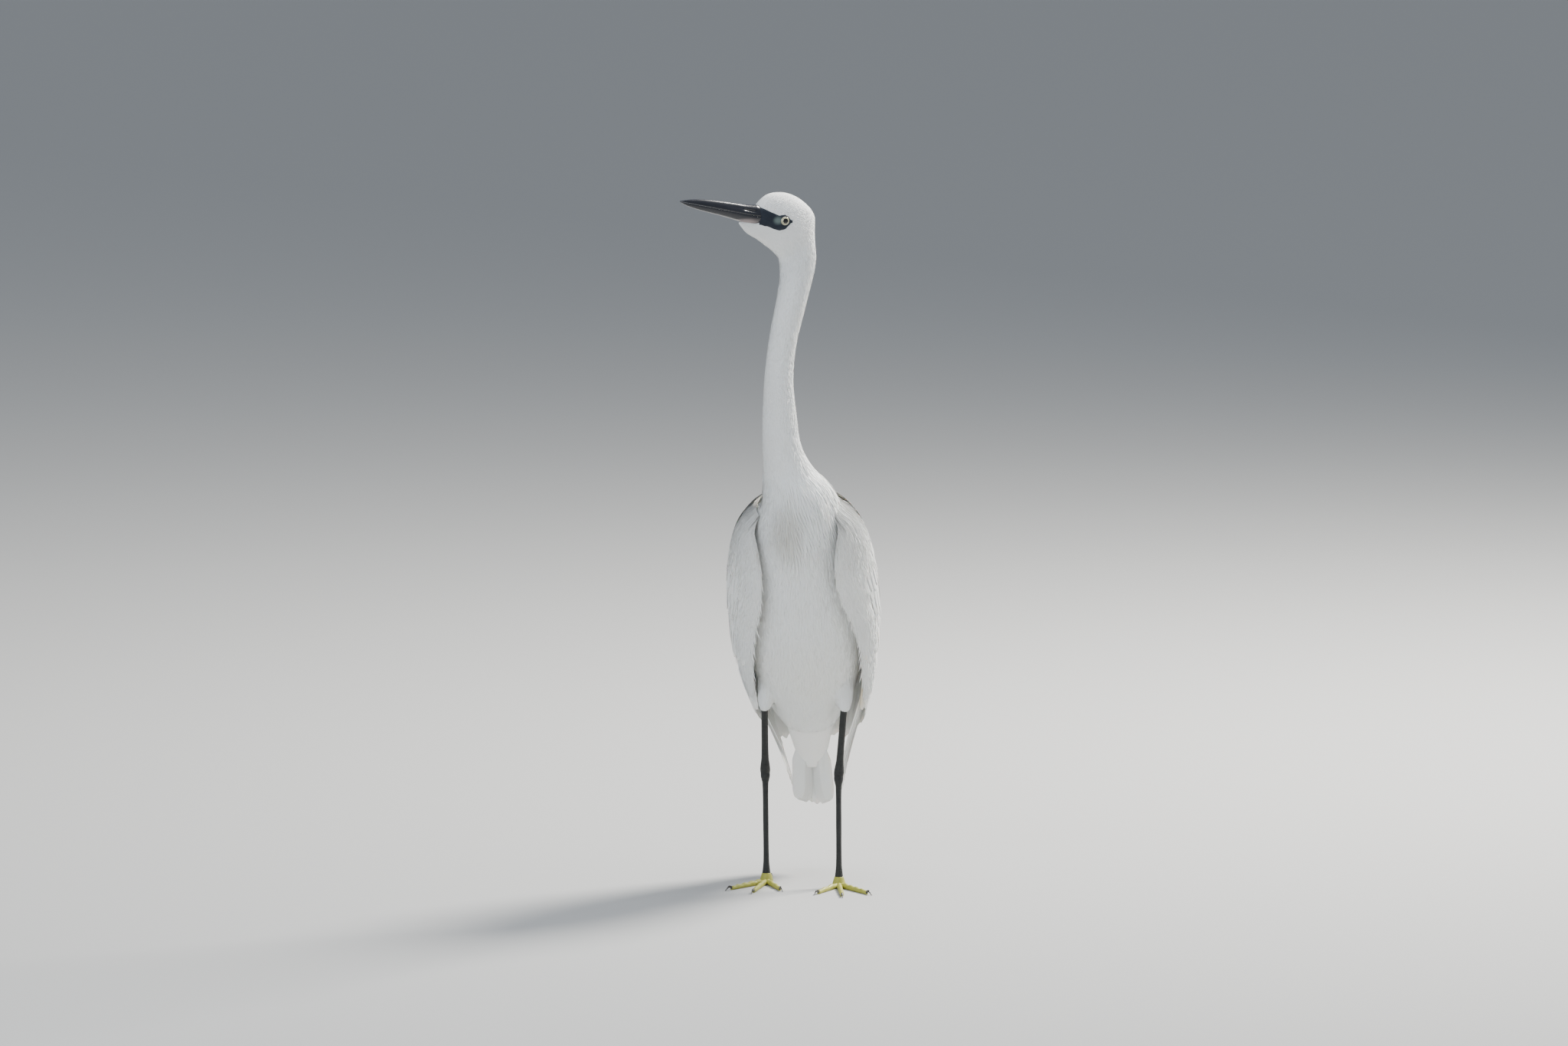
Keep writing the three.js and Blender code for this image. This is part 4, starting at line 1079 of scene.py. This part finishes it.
# Back
# Two overlapping columns of long pointed feathers close the gap between the folded wings, from the
# shoulders to the tertials.
MANTLE_ROWS = 8
MANTLE_START = -6
MANTLE_STEP = 22
MANTLE_STAGGER = 10
MANTLE_LENGTH = 62
MANTLE_HALF = 9
MANTLE_APART = 2.8
back_surfaces = []
for row in range(MANTLE_ROWS):
    for side in (-1, 1):
        start = MANTLE_START + MANTLE_STEP * row + (MANTLE_STAGGER if side > 0 else 0)
        down = start + (MANTLE_LENGTH + 4 * row) * vane_u
        reach = vane_s * MANTLE_HALF * fullness(vane_u, True)
        depth = wing_form(down)[..., 1] + rising(vane_u, -5, 0.3, 1.3) - 0.008 * reach**2
        depth = depth + 0.06 * side * reach + shaft
        across = MANTLE_APART * side + draw.normal(0, 0.7) + reach
        back_surfaces.append(on_lean(across, down, depth))
vanes("back_feathers", back_surfaces)

# Tail
# Twelve short white tail feathers with round tips, the middle pair on top, held together like a closed fan.
# A cone of down covers their roots.
TAIL_TIP = 329.0
TAIL_ROOT = 235.3
RECTRIX_ROOT = 250.0
RECTRIX_HALF = 6.4
RECTRIX_STEP = 0.92
tail_surfaces = []
for pair in range(6):
    for side in (-1, 1):
        start = 1.5 if pair == 0 else 5.4 + pair
        fan_angle = math.radians(0.6 + 0.4 * pair)
        level = 2.2 - RECTRIX_STEP * (0 if pair == 0 and side < 0 else pair + 1)
        end = TAIL_TIP - 1.3 * pair - (1.5 if side < 0 else 0)
        down = RECTRIX_ROOT + (end - RECTRIX_ROOT) * vane_u
        apart = start * (0.6 + 0.4 * np.minimum(vane_u * 3, 1))
        centre = side * (apart + (down - RECTRIX_ROOT) * math.tan(fan_angle))
        depth = level + 0.4 * np.cos(vane_s * 1.5) + shaft
        across = centre + vane_s * RECTRIX_HALF * fullness(vane_u, False)
        tail_surfaces.append(on_lean(across, down, depth))
vanes("tail_feathers", tail_surfaces, "tail")

tail_form = curve([[TAIL_ROOT, 22, 16, 10], [250, 18.5, 11, 7], [265, 15, 6.5, 4], [284, 7.5, 2.8, 1.2]])
down, angle = ringed(np.linspace(228, 284, 24))
width, front, back = np.moveaxis(tail_form(down), -1, 0)
depth = np.where(np.sin(angle) > 0, back, front) * np.sin(angle)
tail_base = lofted("tail_base", on_lean(width * np.cos(angle), down, depth), down_finish)
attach(tail_base, "root")

# Legs
# Bare shanks of black scaled skin, slim and a little thicker at the joint, which is half way up a wading
# bird's leg. A row of broad plates runs down the front of each.
FOOT_HEIGHT = 10.0
TIBIA = 3.1
TARSUS = 2.7
SHANK_SIZES = [[0, 1, 1.1], [0.4, 1, 1.1], [0.78, 1.1, 1.22], [0.93, 1.5, 1.62], [1, 1.35, 1.5]]
TARSUS_SIZES = [
    [0, 1.3, 1.45], [0.06, 1.6, 1.78], [0.14, 1.05, 1.4], [0.5, 0.95, 1.3], [0.88, 1, 1.3], [1, 1.4, 1.5],
]
SHANK_PLATE = 3.4
TARSUS_PLATE = 3.2
scales, scales_in, scales_out = group(
    "rounded scales",
    {"Scale": "value", "Stretch": "vector", "Strength": "value"},
    {"Normal": "vector"},
)
scales_place = add(scales, "TexCoord")
scales_fit = add(scales, "Mapping")
scales_cells = add(scales, "TexVoronoi", feature="DISTANCE_TO_EDGE")
scales_cap = add(scales, "Math", {1: 0.14}, operation="MINIMUM")
scales_bump = add(scales, "Bump", {"Distance": 0.002})
wire(
    scales,
    (scales_place, "Object", scales_fit, "Vector"),
    (scales_in, "Stretch", scales_fit, "Scale"),
    (scales_fit, "Vector", scales_cells, "Vector"),
    (scales_in, "Scale", scales_cells, "Scale"),
    (scales_cells, "Distance", scales_cap, 0),
    (scales_cap, 0, scales_bump, "Height"),
    (scales_in, "Strength", scales_bump, "Strength"),
    (scales_bump, "Normal", scales_out, "Normal"),
)
leg_finish = finish("black leg skin", 0.55, Specular_IOR_Level=0.3)
mottled(leg_finish, light=(0.01, 0.011, 0.011), dark=(0.04, 0.041, 0.037), scale=140, amount=0.9)
bumped(leg_finish, scales, Scale=620, Stretch=(1, 1, 0.6), Strength=0.5)


def limb(name, top, bottom, radius, sizes, plate_length, replaced):
    """A bare length of leg from level rings, with plates down its front."""
    share, angle = ringed(np.linspace(0, 1, 160), 24)
    wide, deep = np.moveaxis(radius * curve(sizes)(share), -1, 0)
    saw = 1 - (share * np.linalg.norm(bottom - top) / plate_length) % 1
    plate = 1 + 0.11 * (saw**0.5 - 0.5) * np.clip(-np.sin(angle), 0, 1) ** 2
    grid = top + share[..., None] * (bottom - top)
    grid[..., 0] += wide * np.cos(angle) * plate
    grid[..., 1] += deep * np.sin(angle) * plate
    made = lofted(name, grid[::-1], leg_finish)
    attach(made, "root")
    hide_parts(replaced)


for leg_name, leg in LEGS.items():
    thigh_end, ankle = mirrored(THIGH_END, leg["side"]), np.array(leg["ankle"], float)
    foot = np.array([*leg["foot"], FOOT_HEIGHT])
    limb("shank_skin_" + leg_name, thigh_end + (0, 0, 14), ankle - (0, 0, 2),
         TIBIA, SHANK_SIZES, SHANK_PLATE, "shank_" + leg_name)
    limb("tarsus_skin_" + leg_name, ankle + (0, 0, 3), foot,
         TARSUS, TARSUS_SIZES, TARSUS_PLATE, "tarsus_" + leg_name)

# Feet and claws
# Greenish yellow toes, three forward and one back, flat below, with a plate over each short step of the
# toe and a swelling at each joint. The claws are black, curved and blunt.
foot_finish = finish("yellow foot skin", 0.5, Coat_Weight=0.1)
mottled(foot_finish, light=(0.5, 0.47, 0.06), dark=(0.25, 0.27, 0.05), scale=110, amount=0.9)
bumped(foot_finish, scales, Scale=700, Stretch=(1, 1, 1), Strength=0.45)
claw_finish = finish("black claw horn", 0.3, Coat_Weight=0.4)
mottled(claw_finish, light=(0.012, 0.011, 0.01), dark=(0.07, 0.06, 0.05), scale=160, amount=0.8)
bumped(claw_finish, grain, Scale=500, Stretch=(1, 1, 1), Detail=6, Strength=0.3, Distance=0.0002)
TOES = {
    "inner": dict(length=47, out=-27, joints=2, claw=9),
    "middle": dict(length=59, out=0, joints=3, claw=9.5),
    "outer": dict(length=52, out=27, joints=4, claw=8.5),
    "hind": dict(length=31, out=176, joints=1, claw=13),
}
TOE_RADIUS = 2.5
TOE_START = 2.0
TOE_PLATE = 2.3
CLAW_ROOT = 1.5
CLAW_TIP = 0.3
CLAW_OVERLAP = 0.8
for leg_name, leg in LEGS.items():
    side = leg["side"]
    centre = np.array([*leg["foot"], 0.0])
    rings, angle = ringed(np.linspace(0, 1, 20))
    radius = curve([[0, 5], [0.25, 6.2], [0.6, 5.4], [1, 4.1]])(rings)[..., 0]
    pad = centre + np.stack([radius * np.cos(angle), radius * np.sin(angle), rings * FOOT_HEIGHT], -1)
    parts = [lofted("foot_skin_" + leg_name, pad, foot_finish)]
    for toe_name, toe in TOES.items():
        heading = math.radians(side * toe["out"] + leg["turn"])
        ahead = np.array([math.sin(heading), -math.cos(heading), 0])
        right = np.array([math.cos(heading), math.sin(heading), 0])
        u, angle = ringed(np.linspace(0, 1, 170), 20)
        bulge = 1 + 0.09 * np.cos(u * (toe["joints"] + 1) * 2 * math.pi)
        half = TOE_RADIUS * (1 - 0.3 * u) * bulge * np.sqrt(np.clip((1 - u) / 0.05, 0.12, 1))
        plates = 1 + 0.16 * (1 - (u * toe["length"] / TOE_PLATE) % 1) ** 0.6 * np.clip(np.sin(angle), 0, 1)
        across = half * np.cos(angle)
        height = np.clip(half * 0.95 + half * 1.05 * np.sin(angle) * plates, 0, None)
        along = TOE_START + (toe["length"] - TOE_START) * u
        grid = centre + along[..., None] * ahead + across[..., None] * right
        grid[..., 2] = height
        parts.append(lofted("toe", grid, foot_finish))

        u, angle = ringed(np.linspace(0, 1, 24), 16)
        half = CLAW_ROOT + (CLAW_TIP - CLAW_ROOT) * u**0.8
        middle = 2 + 1.7 * np.sin(math.pi * np.minimum(u * 1.25, 1)) - 1.45 * u * u
        grid = centre + (toe["length"] - CLAW_OVERLAP + (toe["claw"] + CLAW_OVERLAP) * u)[..., None] * ahead
        grid = grid + (half * 0.8 * np.cos(angle))[..., None] * right
        grid[..., 2] = np.maximum(middle + half * 1.15 * np.sin(angle), 0)
        claw = lofted(f"claw_horn_{leg_name}_{toe_name}", grid, claw_finish)
        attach(claw, "root")
        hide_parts(f"claw_{leg_name}_{toe_name}")
    foot = join(parts)
    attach(foot, "root")
    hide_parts("foot_" + leg_name)

# Floor, light and camera
# A plain pale floor under soft light: a broad key from the right and behind, as low sun, and a wide fill
# from the front. The camera stands far off and a little above the bird, as in the photograph.
FLOOR_REACH = 30.0
floor_finish = finish("pale floor", 0.85, Base_Color=(0.44, 0.44, 0.43, 1))
floor_mesh = bpy.data.meshes.new("floor")
corners = [(x * FLOOR_REACH, y * FLOOR_REACH, 0) for x, y in ((-1, -1), (1, -1), (1, 1), (-1, 1))]
floor_mesh.from_pydata(corners, [], [(0, 1, 2, 3)])
floor_mesh.materials.append(floor_finish)
floor = bpy.data.objects.new("floor", floor_mesh)
bpy.context.scene.collection.objects.link(floor)

AIM = to_world((0, 0, 0)) + np.array([-18.3, 0, 335]) * MM


def area_light(name, place, size, power, colour):
    """A round soft light, turned to the bird."""
    data = bpy.data.lights.new(name, "AREA")
    data.shape = "DISK"
    data.size = size
    data.energy = power
    data.color = colour
    light = bpy.data.objects.new(name, data)
    light.location = place
    light.rotation_euler = (Vector(AIM) - Vector(place)).to_track_quat("-Z", "Y").to_euler()
    bpy.context.scene.collection.objects.link(light)


area_light("key", (1.5, 1.3, 2.1), 0.9, 240, (1.0, 0.97, 0.92))
area_light("fill", (-1.4, -2.6, 1.6), 2.4, 48, (0.86, 0.92, 1.0))
area_light("top", (0.2, -0.4, 3.0), 2.0, 44, (0.95, 0.97, 1.0))

world = bpy.data.worlds.new("studio")
bpy.context.scene.world = world
world.use_nodes = True
world.node_tree.nodes["Background"].inputs["Color"].default_value = (0.76, 0.83, 0.93, 1)
world.node_tree.nodes["Background"].inputs["Strength"].default_value = 0.55

CAMERA_AWAY = 12.0
CAMERA_HEIGHT = math.radians(7)
camera_data = bpy.data.cameras.new("camera")
camera_data.lens = 301.3
camera_data.sensor_width = 36
camera_data.clip_end = 100
camera = bpy.data.objects.new("camera", camera_data)
camera.location = AIM + CAMERA_AWAY * np.array([0, -math.cos(CAMERA_HEIGHT), math.sin(CAMERA_HEIGHT)])
camera.rotation_euler = (math.pi / 2 - CAMERA_HEIGHT, 0, 0)
bpy.context.scene.collection.objects.link(camera)
bpy.context.scene.camera = camera
